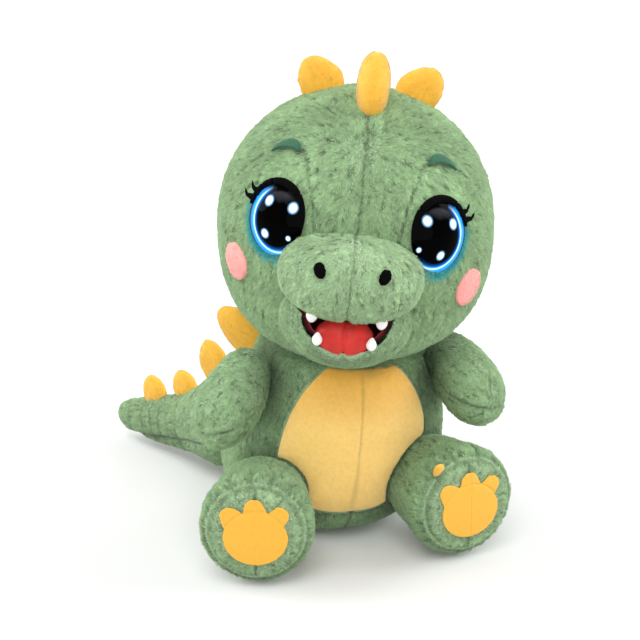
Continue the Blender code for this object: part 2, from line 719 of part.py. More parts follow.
for side, sign in SIDES:
    for row, at in (("upper", TOOTH_UPPER_AT), ("lower", TOOTH_LOWER_AT)):
        centre = in_face((sign * at[0], at[1], at[2]))
        tooth = ellipsoid("tooth_" + row + "_" + side, centre, TOOTH_HALF, HEAD_FRAME, 10, WHITE, rough=0.5)
        cut(tooth, muzzle_clear)
        cut(tooth, tongue_bed, "INTERSECT")
        hang(tooth, neck)

    place = on_head(sign * EYE_AT[0], EYE_AT[1])
    edge = oval(EYE_HALF, sign * EYE_LEAN)
    eye = patch("eye_" + side, place, edge, 20, 3, GAP,
                lambda s: EYE_RIM + EYE_DOME * math.sqrt(max(0.0, 1.0 - s * s)), BLACK, 0.08)
    axis = head_axis(sign * EYE_AT[0], EYE_AT[1])
    cut(eye, plug("eye_stem_" + side, axis, EYE_STEM, -EYE_STEM_LENGTH, 0.5 * EYE_DOME, 10), "UNION")
    cut(eye, muzzle_clear)
    hang(eye, neck)
    deep = EYE_STEM_LENGTH + 3.0 * GAP
    cut(head_skin, plug("eye_hole_" + side, axis, EYE_STEM + GAP, -deep, SKIN, 10))
    seat = lining_depth(axis, WASHER_RADIUS) + WASHER_PLAY
    washer = flat_ring("eye_washer_" + side, EYE_STEM + GAP, WASHER_RADIUS, -seat - WASHER_THICK, -seat, 14,
                       axis, WASHER_WHITE, 0.4)
    hang(washer, neck)
    cut(head_stuffing, plug("eye_pocket_" + side, axis, WASHER_RADIUS + 2.0 * GAP, -deep, SKIN, 16))

    lid_points = []
    lid_radii = []
    steps = 12
    for i in range(steps + 1):
        t = math.radians(28.0 + 136.0 * i / steps)
        rim = oval([half + LID_OUTSIDE for half in EYE_HALF], sign * EYE_LEAN)
        lid_points.append(place(*rim(t if sign < 0 else math.pi - t), LID_LIFT))
        fullness = 0.55 + 0.45 * math.sin(math.pi * i / steps)
        lid_radii.append(0.0 if i in (0, steps) else LID_THICK * fullness)
    lid = tube("eyelid_" + side, lid_points, lid_radii, 6, Matrix.Identity(4), BLACK, 0.5)
    hang(lid, neck)

    brow_edge = oval(BROW_HALF, -sign * BROW_LEAN)
    brow = patch("brow_" + side, on_head(sign * BROW_AT[0], BROW_AT[1]), brow_edge, 16, 2,
                 GAP, lambda s: BROW_THICK * (1.0 - 0.4 * s), DARK_GREEN)
    cheek = patch("cheek_" + side, on_head(sign * CHEEK_AT[0], CHEEK_AT[1]), oval(CHEEK_HALF), 18, 2,
                  GAP, lambda s: CHEEK_THICK * (1.0 - 0.5 * s * s), PINK)
    hang(brow, neck)
    hang(cheek, neck)

    def on_muzzle(u, v, h, sign=sign):
        a = math.radians(NOSTRIL_AT[1]) + v / MUZZLE_HALF.z
        x = (sign * NOSTRIL_AT[0] + u) / MUZZLE_HALF.x
        k = math.sqrt(1.0 - x * x)
        local = Vector((x, -k * math.cos(a), k * math.sin(a)))
        local *= sum(abs(c) ** MUZZLE_FULLNESS for c in local) ** (-1.0 / MUZZLE_FULLNESS)
        p = Vector((local.x * MUZZLE_HALF.x, local.y * MUZZLE_HALF.y, local.z * MUZZLE_HALF.z))
        steep = [math.copysign(abs(c) ** (MUZZLE_FULLNESS - 1.0), c) for c in local]
        n = Vector([c / half for c, half in zip(steep, MUZZLE_HALF)]).normalized()
        return HEAD_FRAME @ (in_face(MUZZLE_AT) + p + n * h)

    nostril = patch("nostril_" + side, on_muzzle, oval(NOSTRIL_HALF, sign * NOSTRIL_LEAN), 12, 2, GAP,
                    lambda s: NOSTRIL_THICK * (1.0 - 0.4 * s * s), BLACK, 0.6)
    hang(nostril, neck)


# Crest: one fin along the head's middle line and one on each side of it
def crown_point(x, y):
    """A point on the crown above (x, y) of the crest's frame, and the way out there."""
    d = Vector((x, y, math.sqrt(HEAD_UP ** 2 - x * x - y * y))).normalized()
    d = (HEAD_TURN @ d).normalized()
    return HEAD_CENTRE + d * head_reach(d), d


root, out = crown_point(*CREST_MIDDLE_AT)
crest_middle = fin("crest_middle", root, out, HEAD_TURN @ Vector((0.0, -1.0, 0.0)), CREST_MIDDLE, 18)
cut(crest_middle, head_clear)
hang(crest_middle, neck)
for side, sign in SIDES:
    root, out = crown_point(sign * CREST_SIDE_AT[0], CREST_SIDE_AT[1])
    tilt = Vector((sign * CREST_SIDE_TILT.x, CREST_SIDE_TILT.y, CREST_SIDE_TILT.z))
    outward = HEAD_TURN @ Vector((sign, 0.0, 0.0))
    crest = fin("crest_" + side, root, out + HEAD_TURN @ tilt, outward, CREST_SIDE)
    cut(crest, head_clear)
    hang(crest, neck)


def flatten_arm(v):
    """Narrows an arm across, more towards the hand, and leaves its ball round."""
    t = min(max(v.z / ARM_PROFILE[2][0], 0.0), 1.0)
    return Vector((v.x, v.y * (1.0 + (ARM_FLATNESS - 1.0) * t), v.z))


def rounded_root(radius, steps):
    """(radius, distance) round the back of a ball that a limb grows from."""
    angles = [math.radians(15.0 * i) for i in range(1, steps + 1)]
    return [(0.0, -radius)] + [(radius * math.sin(a), -radius * math.cos(a)) for a in angles]


# Arms: stuffed tubes, open at the back of the ball that is sewn into the shoulder
for side, sign in SIDES:
    at, normal = shoulders[side]
    shoulder = pivot("shoulder_pivot_" + side, at)
    frame = aim(at, arm_ways[side], normal)
    outer = rounded_root(ARM_BALL, 6) + [(r, s) for s, r in smooth_profile(ARM_PROFILE, 9)]
    arm_skin = turned("arm_skin_" + side, outer, 16, frame, GREEN, bend=flatten_arm)
    inner = [(0.0, -2.0 * ARM_BALL), (ARM_MOUTH, -2.0 * ARM_BALL), (ARM_MOUTH, -0.80 * ARM_BALL)]
    inner += [(0.75 * (ARM_BALL - SKIN), -0.5 * ARM_BALL), (ARM_BALL - 1.3 * SKIN, 0.0)]
    inner += [(r - 1.2 * SKIN, s) for s, r in ARM_PROFILE[1:5]] + [(0.0, ARM_PROFILE[5][0] - SKIN)]
    for tool in (head_cup, torso_rooms["shoulder_socket_" + side]):
        cut(arm_skin, tool)
    cut(arm_skin, as_cutter(turned("arm_hollow_" + side, inner, 12, frame, None, bend=flatten_arm)))
    loose = 2.5 * GAP
    core = [(0.0, -0.80 * ARM_BALL)] + [(r - loose, s) for r, s in inner[3:-1]]
    core += [(0.0, inner[-1][1] - 2.0 * loose)]
    arm_stuffing = turned("arm_stuffing_" + side, core, 12, frame, FILL, bend=flatten_arm)
    cut(arm_stuffing, head_cup)
    hang(arm_skin, shoulder)
    hang(arm_stuffing, shoulder)


def pad_edge(t):
    """The farthest edge of a main pad and three toes, seen from the pad's middle."""
    c = math.cos(t)
    s = math.sin(t)
    reach = 1.0 / math.hypot(c / PAD_HALF[0], s / PAD_HALF[1])
    for u, v in TOES:
        along = u * c + v * s
        aside = u * s - v * c
        if along > 0.0 and abs(aside) < TOE_RADIUS:
            reach = max(reach, along + math.sqrt(TOE_RADIUS ** 2 - aside ** 2))
    return reach * c, reach * s - PAD_DROP


def leg_outline(grow=0.0):
    """(radius, distance) from the back of the hip's ball to the edge of the sole, made larger by grow."""
    swell = FOOT_RADIUS - HIP_BALL
    points = rounded_root(HIP_BALL, 5)[1:]
    points += [(HIP_BALL + share * swell, part * LEG_LENGTH)
               for share, part in LEG_SWELL]
    points += [(FOOT_RADIUS - 0.5 * (FOOT_RADIUS - SOLE_RADIUS), 0.945 * LEG_LENGTH)]
    points += [(SOLE_RADIUS + 5.0 * GAP, LEG_LENGTH)]
    return [(0.0, -HIP_BALL - grow)] + [(r + grow, s) for r, s in points]


# Legs: a ball bedded in the hip, a barrel, and a round sole that closes it
for side, sign in SIDES:
    hip = pivot("hip_pivot_" + side, hips[side])
    frame = aim(hips[side], leg_ways[side])
    wall = SOLE_RADIUS + GAP
    inner = [
        (wall, LEG_LENGTH), (wall, 0.84 * LEG_LENGTH), (FOOT_RADIUS - SKIN, 0.66 * LEG_LENGTH),
        (HIP_BALL - SKIN + 0.4 * (FOOT_RADIUS - HIP_BALL), 0.2 * LEG_LENGTH),
        (0.62 * HIP_BALL, -0.55 * HIP_BALL), (0.0, SKIN - HIP_BALL),
    ]
    leg_skin = turned("leg_skin_" + side, leg_outline() + inner, 22, frame, GREEN)
    cut(leg_skin, torso_rooms["hip_socket_" + side])
    back = LEG_LENGTH - SOLE_THICK
    loose = 3.0 * GAP
    core = [(0.0, back - GAP), (SOLE_RADIUS - GAP, back - GAP), (SOLE_RADIUS - GAP, 0.80 * LEG_LENGTH)]
    core += [(r - loose, z) for r, z in inner[2:-1]] + [(0.0, SKIN - HIP_BALL + loose)]
    leg_stuffing = turned("leg_stuffing_" + side, core, 14, frame, FILL)
    front = LEG_LENGTH + SOLE_CROWN
    sole = turned("sole_" + side, (
        (0.0, back), (SOLE_RADIUS, back), (SOLE_RADIUS, LEG_LENGTH - SOLE_CROWN),
        (0.82 * SOLE_RADIUS, front), (0.0, front)), 28, frame, PALE_GREEN)

    def on_sole(u, v, h, frame=frame, front=front):
        return frame @ Vector((u, v, front + h))

    pad = patch("paw_pad_" + side, on_sole, pad_edge, 44, 2, GAP,
                lambda s: PAD_THICK * (1.0 - 0.4 * s * s), YELLOW)
    for obj in (leg_skin, leg_stuffing, sole, pad):
        hang(obj, hip)

# A small folded tab sewn into the sole's seam, on the inner upper side of the left foot
tab_frame = aim(hips["left"], leg_ways["left"])
tab_turn = tab_frame.to_3x3()
tab_angle = math.radians(TAB_ANGLE)
tab_out = Vector((math.cos(tab_angle), math.sin(tab_angle), 0.0))
tab_root = tab_out * (0.5 * (FOOT_RADIUS + SOLE_RADIUS)) + Vector((0.0, 0.0, TAB_ALONG * LEG_LENGTH))
tab_way = (tab_out + Vector((0.0, 0.0, 0.6))).normalized()
tab_along = Vector((-tab_out.y, tab_out.x, 0.0))
tab = fin("foot_tab_left", tab_frame @ tab_root, tab_turn @ tab_way, tab_turn @ tab_along, TAB, 10)
cut(tab, as_cutter(turned("foot_clear", leg_outline(GAP) + [(0.0, LEG_LENGTH + GAP)], 22, tab_frame, None)))
hang(tab, bpy.data.objects["hip_pivot_left"])


def tail_sag(s):
    return TAIL_SAG * math.sin(math.pi * min(max(s / TAIL_PROFILE[-1][0], 0.0), 1.0))


def sag_tail(v):
    return Vector((v.x, v.y - tail_sag(v.z), v.z))


def tail_radius(s):
    knots = TAIL_PROFILE
    if s < knots[0][0]:
        return math.sqrt(TAIL_BALL ** 2 - s * s)
    for (s0, r0), (s1, r1) in zip(knots, knots[1:]):
        if s <= s1:
            return r0 + (r1 - r0) * (s - s0) / (s1 - s0)
    return 0.0


# Tail: a ball bedded in the back, tapering to the tip, with its own fins
tail = pivot("tail_pivot", tail_at)
tail_frame = aim(tail_at, tail_along)
outer = rounded_root(TAIL_BALL, 6) + [(r, s) for s, r in smooth_profile(TAIL_PROFILE, 8)]
tail_skin = turned("tail_skin", outer, 20, tail_frame, GREEN, bend=sag_tail)
inner = [(0.0, -1.3 * TAIL_BALL), (TAIL_MOUTH, -1.3 * TAIL_BALL), (TAIL_MOUTH, -0.80 * TAIL_BALL)]
inner += [(0.80 * (TAIL_BALL - SKIN), -0.55 * TAIL_BALL), (TAIL_BALL - 1.4 * SKIN, -0.1 * TAIL_BALL)]
inner += [(r - 1.1 * SKIN, s) for s, r in TAIL_PROFILE[:4]] + [(0.0, TAIL_PROFILE[4][0] - SKIN)]
cut(tail_skin, as_cutter(turned("tail_hollow", inner, 14, tail_frame, None, bend=sag_tail)))
cut(tail_skin, torso_rooms["tail_socket"])
loose = 2.5 * GAP
core = [(0.0, -0.80 * TAIL_BALL)] + [(r - loose, s) for r, s in inner[3:-1]]
core += [(0.0, inner[-1][1] - 2.0 * loose)]
tail_stuffing = turned("tail_stuffing", core, 14, tail_frame, FILL, bend=sag_tail)
clear = [(r + GAP if r > 0.0 else 0.0, s) for r, s in outer]
tail_clear = as_cutter(turned("tail_clear", clear, 20, tail_frame, None, bend=sag_tail))
for obj in (tail_skin, tail_stuffing):
    hang(obj, tail)
tail_up = (tail_frame.to_3x3() @ Vector((0.0, 1.0, 0.0))).normalized()
for number, (reach, size) in enumerate(zip(TAIL_FIN_REACH, TAIL_FINS), 1):
    root = tail_at + tail_along * reach + tail_up * (tail_radius(reach) - tail_sag(reach))
    tail_fin = fin("tail_fin_%d" % number, root, tail_up + tail_along * TAIL_FIN_SLOPE, tail_along, size)
    cut(tail_fin, tail_clear)
    hang(tail_fin, tail)

# Rings of thread that sew the head, arms, legs and tail on, in the openings of the torso's skin
openings = [("tail_seam", tail_at, -tail_out, TAIL_BALL, SEAM_HOLE)]
for side, sign in SIDES:
    inward = torso_lean(hips[side].z) - Vector((hips[side].x, hips[side].y, 0.0))
    openings.append(("hip_seam_" + side, hips[side], inward, HIP_BALL, SEAM_HOLE))
    at, normal = shoulders[side]
    openings.append(("shoulder_seam_" + side, at, -normal, ARM_BALL, SHOULDER_HOLE))
for name, at, inward, size, hole in openings:
    middle = size + TURN_GAP + 0.5 * SKIN
    rim = math.sqrt(middle ** 2 - hole ** 2)
    frame = aim(at, inward)
    cut(torso_skin, plug(name + "_hole", frame, hole, rim - 1.5 * SKIN, middle + 1.5 * SKIN, RING_SIDES))
    ring_cord(name, frame @ Matrix.Translation((0.0, 0.0, rim)), hole - THREAD - GAP)
neck_ring = neck_frame @ Matrix.Translation((0.0, 0.0, 0.5 * (hollow_top + HEAD_LOW)))
ring_cord("neck_seam", neck_ring, NECK_HOLE - THREAD - GAP)
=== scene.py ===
"""Looks of the stuffed dinosaur: puffed plush skins with pile and seams, felt, satin and plastic eyes."""
import json
import math

import bmesh
import bpy
import numpy as np
from mathutils import Matrix, Vector, noise
from mathutils.bvhtree import BVHTree
from mathutils.kdtree import KDTree


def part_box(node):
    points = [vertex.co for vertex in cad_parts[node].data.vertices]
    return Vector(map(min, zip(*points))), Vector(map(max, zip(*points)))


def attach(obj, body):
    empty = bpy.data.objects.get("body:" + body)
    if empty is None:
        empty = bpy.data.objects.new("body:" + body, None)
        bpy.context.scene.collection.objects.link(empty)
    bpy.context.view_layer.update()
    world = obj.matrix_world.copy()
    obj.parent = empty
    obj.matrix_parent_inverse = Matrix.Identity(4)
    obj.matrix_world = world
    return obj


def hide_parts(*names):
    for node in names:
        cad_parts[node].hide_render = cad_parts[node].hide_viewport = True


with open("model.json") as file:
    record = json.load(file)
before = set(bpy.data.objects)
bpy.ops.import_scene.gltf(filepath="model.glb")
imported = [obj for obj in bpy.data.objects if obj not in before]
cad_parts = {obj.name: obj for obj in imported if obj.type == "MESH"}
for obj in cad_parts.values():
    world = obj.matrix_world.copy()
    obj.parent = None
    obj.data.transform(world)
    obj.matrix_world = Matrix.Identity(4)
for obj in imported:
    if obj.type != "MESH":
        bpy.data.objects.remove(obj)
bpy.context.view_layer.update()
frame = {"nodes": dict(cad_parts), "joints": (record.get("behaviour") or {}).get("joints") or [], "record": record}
nodes = frame["nodes"]
scene = bpy.context.scene
SIDES = (("right", -1.0), ("left", 1.0))

# Head: how it is turned, where its middle is and how its ball is formed
HEAD_YAW = -15.3
HEAD_ROLL = 6.0
HEAD_CENTRE = Vector((0.0128, -0.024, 0.202))
HEAD_RADIUS = 0.0875
HEAD_UP = 0.084
HEAD_DOWN = 0.0875
HEAD_FULLNESS = 2.6
HEAD_TURN = (Matrix.Rotation(math.radians(HEAD_YAW), 3, "Z")
             @ Matrix.Rotation(math.radians(HEAD_ROLL), 3, "Y"))
FACE_X = HEAD_TURN @ Vector((1.0, 0.0, 0.0))

# Face places as (azimuth, elevation) on the head, in degrees, and half sizes in metres
EYE_AT = (34.9, 9.9)
EYE_HALF = (0.0199, 0.0223)
EYE_LEAN = 8.0
EYE_RIM = 0.0012
EYE_DOME = 0.0060
EYE_SINK = 0.0008
LID_FROM = 18.0
LID_TO = 196.0
LID_OUT = 0.99
LID_LIFT = 0.0008
LID_RADIUS = 0.0027
BROW_AT = (44.8, 39.2)
BROW_HALF = (0.0108, 0.0085)
BROW_LEAN = 17.0
BROW_THICK = 0.0016
CHEEK_AT = (56.8, -14.5)
CHEEK_HALF = (0.0122, 0.0114)
CHEEK_THICK = 0.0022
SEAM_INNER = ((38.0, 39.5), (33.0, 38.5), (28.5, 33.5), (23.5, 25.0), (20.0, 16.0), (18.0, 7.0), (18.5, 0.0))
SEAM_OUTER = ((50.0, 39.0), (55.0, 34.5), (57.6, 25.0), (58.5, 15.0), (58.3, 5.0), (58.5, -5.0),
              (61.0, -17.0), (66.0, -28.0))

# Pile: how long the strands are, how thick at the root, and how many grow on a square metre
PILE = 0.0036
PILE_LAY = (34.0, 82.0)
PILE_SHORT = 0.0024
PILE_VELVET = 0.0010
PILE_FACE = 0.0030
DOWN = (0.0, 0.0, -1.0)
STRAND = 0.00016
STRAND_STRAY = 0.22
DENSITY = 3.6e6
CLUMP = 0.0020
PARTING_SIZE = 0.0023
PARTING_STEP = 0.0012

# Skins: the size of their even mesh, and how far inside the CAD's outside they start before they are puffed
SKINS = {
    "torso": (0.0040, 0.0018),
    "head": (0.0040, 0.0024),
    "arm": (0.0034, 0.0008),
    "leg": (0.0030, 0.0012),
    "tail": (0.0034, 0.0002),
}
SEAT_HELD = 0.007
RELIEF = (0.00025, 0.005)
PUFF_CAP = 0.0022
PUFF_PRESSURE = 4.0
PUFF_FRAMES = 14

# Colours, linear: the pile's tips, and the ground that shows between them
GREEN = (0.325, 0.478, 0.264)
GREEN_DEEP = (0.190, 0.300, 0.155)
PALE = (0.385, 0.545, 0.318)
PALE_DEEP = (0.240, 0.370, 0.200)
GOLD = (1.000, 0.665, 0.205)
GOLD_DEEP = (0.940, 0.580, 0.155)
# Painted shade: the belly's gold turned brown under the chin and in its seam
CHIN_SHADE = (0.900, 0.720, 0.330)
YELLOW = (0.790, 0.440, 0.062)
YELLOW_DEEP = (0.742, 0.371, 0.034)
PINK = (0.940, 0.385, 0.355)
PINK_DEEP = (0.880, 0.300, 0.270)
SHEEN = (0.800, 1.000, 0.700)
# Painted shade: the colour of the pile's ground deep in the seams and in the folds beside the limbs
SEAM_SHADE = (0.300, 0.340, 0.270)
BROW = (0.030, 0.130, 0.065)
# Painted glow: the teal that the eyes' crescents cast on the pile round them
PAINTED_GLOW_TEAL = (0.010, 0.380, 0.430)
BLACK = (0.002, 0.002, 0.002)
MAROON = (0.150, 0.004, 0.008)
RED = (0.590, 0.024, 0.018)
WHITE = (0.900, 0.900, 0.880)
WHITE_DEEP = (0.740, 0.740, 0.720)
WASHER = (0.800, 0.800, 0.800)
FILL = (0.920, 0.920, 0.900)
FILL_DEEP = (0.700, 0.700, 0.680)
BAG = (0.750, 0.720, 0.660)
BAG_DEEP = (0.420, 0.400, 0.360)
THREAD = (0.200, 0.330, 0.200)
THREAD_DEEP = (0.080, 0.150, 0.080)
NONE = (0.0, 0.0, 0.0)
FULL = (1.0, 1.0, 1.0)


# Meshes

def coordinates(mesh):
    co = np.empty(len(mesh.vertices) * 3, np.float32)
    mesh.vertices.foreach_get("co", co)
    return co.reshape(-1, 3).astype(float)


def set_coordinates(mesh, co):
    mesh.vertices.foreach_set("co", co.astype(np.float32).ravel())
    mesh.update()


def normals(mesh):
    no = np.empty(len(mesh.vertices) * 3, np.float32)
    mesh.vertex_normals.foreach_get("vector", no)
    return no.reshape(-1, 3).astype(float)


def edge_list(mesh):
    ends = np.empty(len(mesh.edges) * 2, np.int32)
    mesh.edges.foreach_get("vertices", ends)
    return ends.reshape(-1, 2)


def neighbour_mean(values, edges):
    """The mean of each vertex's neighbours, for one number or a point at each vertex."""
    count = len(values)
    degree = np.bincount(edges.ravel(), minlength=count)
    columns = values.reshape(count, -1)
    total = np.zeros_like(columns)
    for c in range(columns.shape[1]):
        total[:, c] += np.bincount(edges[:, 0], columns[edges[:, 1], c], count)
        total[:, c] += np.bincount(edges[:, 1], columns[edges[:, 0], c], count)
    return (total / np.maximum(degree, 1)[:, None]).reshape(values.shape)


def piece(name, verts, faces):
    mesh = bpy.data.meshes.new(name)
    mesh.from_pydata([tuple(v) for v in verts], [], faces)
    mesh.update()
    return link(name, mesh)


def link(name, mesh):
    obj = bpy.data.objects.new(name, mesh)
    scene.collection.objects.link(obj)
    mesh.shade_smooth()
    return obj


def evaluated_mesh(obj):
    graph = bpy.context.evaluated_depsgraph_get()
    return bpy.data.meshes.new_from_object(obj.evaluated_get(graph))


def apply_modifiers(obj):
    mesh = evaluated_mesh(obj)
    obj.modifiers.clear()
    obj.data = mesh
    mesh.shade_smooth()
    return obj


def smooth(obj, steps, share=0.5):
    co = coordinates(obj.data)
    edges = edge_list(obj.data)
    for _ in range(steps):
        co += share * (neighbour_mean(co, edges) - co)
    set_coordinates(obj.data, co)
    return obj


def grow(obj, amount):
    set_coordinates(obj.data, coordinates(obj.data) + amount * normals(obj.data))
    return obj


def remesh(obj, voxel):
    mod = obj.modifiers.new("even", "REMESH")
    mod.mode = "VOXEL"
    mod.voxel_size = voxel
    return apply_modifiers(obj)


def subdivide(obj, levels=1):
    mod = obj.modifiers.new("finer", "SUBSURF")
    mod.levels = levels
    mod.render_levels = levels
    return apply_modifiers(obj)


def joined(objs):
    """The corners and the faces of some objects as one mesh."""
    verts = []
    faces = []
    for obj in objs:
        base = len(verts)
        verts += [v.co.copy() for v in obj.data.vertices]
        faces += [[base + i for i in f.vertices] for f in obj.data.polygons]
    return verts, faces


def outer_form(name, node_names, voxel, inset, detail=6):
    """The outside of some nodes as one closed skin, found by rays from all round to the middle."""
    tree = BVHTree.FromPolygons(*joined([nodes[n] for n in node_names]))
    corners = [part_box(n) for n in node_names]
    low = Vector([min(c[0][i] for c in corners) for i in range(3)])
    high = Vector([max(c[1][i] for c in corners) for i in range(3)])
    middle = 0.5 * (low + high)
    far = (high - low).length
    bm = bmesh.new()
    bmesh.ops.create_icosphere(bm, subdivisions=detail, radius=1.0)
    mesh = bpy.data.meshes.new(name)
    bm.to_mesh(mesh)
    bm.free()
    ways = coordinates(mesh)
    ways /= np.linalg.norm(ways, axis=1)[:, None]
    reach = np.full(len(ways), np.nan)
    for i, way in enumerate(ways):
        out = Vector(way)
        hit = tree.ray_cast(middle + out * far, -out, far)
        if hit[0] is not None:
            reach[i] = far - hit[3]
    open_at = np.isnan(reach)
    reach[open_at] = np.nanmean(reach)
    edges = edge_list(mesh)
    for _ in range(400 if open_at.any() else 0):
        reach[open_at] = neighbour_mean(reach, edges)[open_at]
    set_coordinates(mesh, np.array(middle) + ways * reach[:, None])
    obj = remesh(link(name, mesh), voxel)
    smooth(obj, 6)
    return grow(obj, -inset)


def solid_form(name, node, voxel, inset=0.0, steps=4):
    """A CAD solid as one even closed skin with its facets smoothed away."""
    obj = remesh(link(name, nodes[node].data.copy()), voxel)
    obj.data.materials.clear()
    smooth(obj, steps)
    return grow(obj, -inset) if inset else obj


def puff(obj, held, cap=PUFF_CAP):
    """Blows a skin up with cloth simulation; the vertices that are held stay sewn where they are."""
    before = coordinates(obj.data)
    group = obj.vertex_groups.new(name="sewn")
    group.add([int(i) for i in np.flatnonzero(held)], 1.0, "REPLACE")
    cloth = obj.modifiers.new("puff", "CLOTH")
    settings = cloth.settings
    settings.quality = 4
    settings.mass = 0.15
    settings.tension_stiffness = 6.0
    settings.compression_stiffness = 6.0
    settings.shear_stiffness = 3.0
    settings.bending_stiffness = 0.2
    settings.use_pressure = True
    settings.uniform_pressure_force = PUFF_PRESSURE
    settings.vertex_group_mass = group.name
    settings.effector_weights.gravity = 0.0
    cloth.collision_settings.use_collision = False
    cloth.point_cache.frame_end = PUFF_FRAMES
    for step in range(1, PUFF_FRAMES + 1):
        scene.frame_set(step)
    after = coordinates(evaluated_mesh(obj))
    obj.modifiers.clear()
    obj.vertex_groups.clear()
    scene.frame_set(1)
    move = after - before
    length = np.linalg.norm(move, axis=1)
    move *= (np.minimum(length, cap) / np.maximum(length, 1e-9))[:, None]
    set_coordinates(obj.data, before + move)
    return smooth(obj, 1)


# Seams: each is a function that gives every point's distance to it

def least_of(distances, count):
    """The least of some distances at each of count points, and 1 m where none is less."""
    least = np.full(count, 1.0)
    for distance in distances:
        least = np.minimum(least, distance)
    return least


def to_segment(co, a, b):
    run = b - a
    t = np.clip((co - a) @ run / (run @ run), 0.0, 1.0)
    return np.linalg.norm(co - a - t[:, None] * run, axis=1)


def along_line(points):
    line = np.array([tuple(p) for p in points])
    return lambda co: least_of((to_segment(co, a, b) for a, b in zip(line, line[1:])), len(co))


def in_plane(origin, normal, only=None):
    """A seam where a plane meets the skin; only gives the points that it may touch."""
    o = np.array(origin)
    n = np.array(Vector(normal).normalized())

    def distance(co):
        gap = np.abs((co - o) @ n)
        return gap if only is None else np.where(only(co), gap, 1.0)
    return distance


def smooth_line(points, count=40):
    """A smooth curve through points of any dimension."""
    knots = np.array([tuple(p) for p in points], float)
    last = len(knots) - 1
    curve = []
    for t in np.linspace(0.0, last, count):
        k = min(int(t), last - 1)
        f = t - k
        p0, p1, p2, p3 = (knots[min(max(k + o, 0), last)] for o in (-1, 0, 1, 2))
        curve.append(0.5 * (2 * p1 + (p2 - p0) * f + (2 * p0 - 5 * p1 + 4 * p2 - p3) * f * f
                            + (3 * p1 - p0 - 3 * p2 + p3) * f ** 3))
    return curve


def seam_distance(co, seams):
    return least_of((seam(co) for seam in seams), len(co))


def carve(obj, seams, depth=0.0016, width=0.0022, dark=1.0):
    """Draws a skin in along its seams, and marks them for its material to darken there as painted shade, by dark.
    """
    co = coordinates(obj.data)
    near = np.exp(-(seam_distance(co, seams) / width) ** 2)
    set_coordinates(obj.data, co - depth * near[:, None] * normals(obj.data))
    mark_painted_shade(obj.data, dark * near)


def mark_painted_shade(mesh, near):
    """Notes for a skin's material how deep in a seam or a fold each vertex is, 1 at the most, for painted shade
    there.
    """
    mark = mesh.attributes.get("seam") or mesh.attributes.new("seam", "FLOAT", "POINT")
    before = np.zeros(len(mesh.vertices), np.float32)
    mark.data.foreach_get("value", before)
    mark.data.foreach_set("value", np.maximum(before, near).astype(np.float32))


def relief(obj, depth, size, seed):
    """Small lumps of pile, pushed in and out along the normals."""
    co = coordinates(obj.data)
    shift = Vector((seed * 1.7, seed * 0.9, seed * 2.3))
    lumps = np.array([noise.fractal(Vector(p) / size + shift, 0.8, 2.0, 2) for p in co])
    set_coordinates(obj.data, co + depth * lumps[:, None] * normals(obj.data))


# Materials

def deeper(colour, share):
    return tuple(share * c for c in colour)


def new_material(name):
    mat = bpy.data.materials.new(name)
    mat.use_nodes = True
    tree = mat.node_tree
    shader = tree.nodes["Principled BSDF"]
    return mat, tree, shader


def add_node(tree, kind, **values):
    node = tree.nodes.new(kind)
    for key, value in values.items():
        if key in node.inputs:
            node.inputs[key].default_value = value
        else:
            setattr(node, key, value)
    return node


def settle(shader, **values):
    """Plain values on a shader's own sockets; _ stands for a space in a socket's name."""
    for key, value in values.items():
        shader.inputs[key.replace("_", " ")].default_value = value


def mixed(tree, kind, a, b):
    mix = add_node(tree, "ShaderNodeMix", data_type="RGBA", blend_type=kind)
    mix.inputs["Factor"].default_value = 1.0
    tree.links.new(a, mix.inputs["A"])
    tree.links.new(b, mix.inputs["B"])
    return mix.outputs["Result"]


def ramp(tree, source, stops):
    node = tree.nodes.new("ShaderNodeValToRGB")
    band = node.color_ramp
    while len(band.elements) < len(stops):
        band.elements.new(0.5)
    for element, (at, colour) in zip(band.elements, stops):
        element.position = at
        element.color = (*colour, 1.0)
    tree.links.new(source, node.inputs["Fac"])
    return node


def mottled(tree, shader, low, high, scale, detail):
    """Colour that wanders between two shades at one scale."""
    place = tree.nodes.new("ShaderNodeTexCoord")
    cloud = add_node(tree, "ShaderNodeTexNoise", Scale=scale, Detail=detail, Roughness=0.62)
    tree.links.new(place.outputs["Object"], cloud.inputs["Vector"])
    band = ramp(tree, cloud.outputs["Fac"], ((0.32, low), (0.68, high)))
    tree.links.new(band.outputs["Color"], shader.inputs["Base Color"])
    return place


def bumped(tree, shader, place, scale, strength, distance, stretch=(1.0, 1.0, 1.0)):
    mapping = tree.nodes.new("ShaderNodeMapping")
    mapping.inputs["Scale"].default_value = stretch
    grain = add_node(tree, "ShaderNodeTexNoise", Scale=scale, Detail=6.0, Roughness=0.65, Distortion=0.6)
    bump = add_node(tree, "ShaderNodeBump", Strength=strength, Distance=distance)
    tree.links.new(place.outputs["Object"], mapping.inputs["Vector"])
    tree.links.new(mapping.outputs["Vector"], grain.inputs["Vector"])
    tree.links.new(grain.outputs["Fac"], bump.inputs["Height"])
    tree.links.new(bump.outputs["Normal"], shader.inputs["Normal"])


def cloth(name, deep, colour, cloud, grain, **sockets):
    """A surface mottled in two shades: cloud is the mottle's scale and detail, grain its bump's scale,
    strength, depth and stretch, and sockets are plain values of the shader."""
    mat, tree, shader = new_material(name)
    place = mottled(tree, shader, deep, colour, *cloud)
    bumped(tree, shader, place, *grain)
    settle(shader, **sockets)
    return mat


def multiplied(mat, band):
    """Multiplies a material's colour by a ramp's."""
    tree = mat.node_tree
    base = tree.nodes["Principled BSDF"].inputs["Base Color"]
    tree.links.new(mixed(tree, "MULTIPLY", base.links[0].from_socket, band.outputs["Color"]), base)
    return mat


def plush(name, deep, colour):
    """The ground of a pile: mottled darker and lighter, with painted shade down in the seams and folds, and a soft
    sheen.
    """
    mat = cloth(name, deep, colour, **GROUND)
    mark = add_node(mat.node_tree, "ShaderNodeAttribute", attribute_name="seam")
    return multiplied(mat, ramp(mat.node_tree, mark.outputs["Fac"], ((0.0, FULL), (1.0, SEAM_SHADE))))


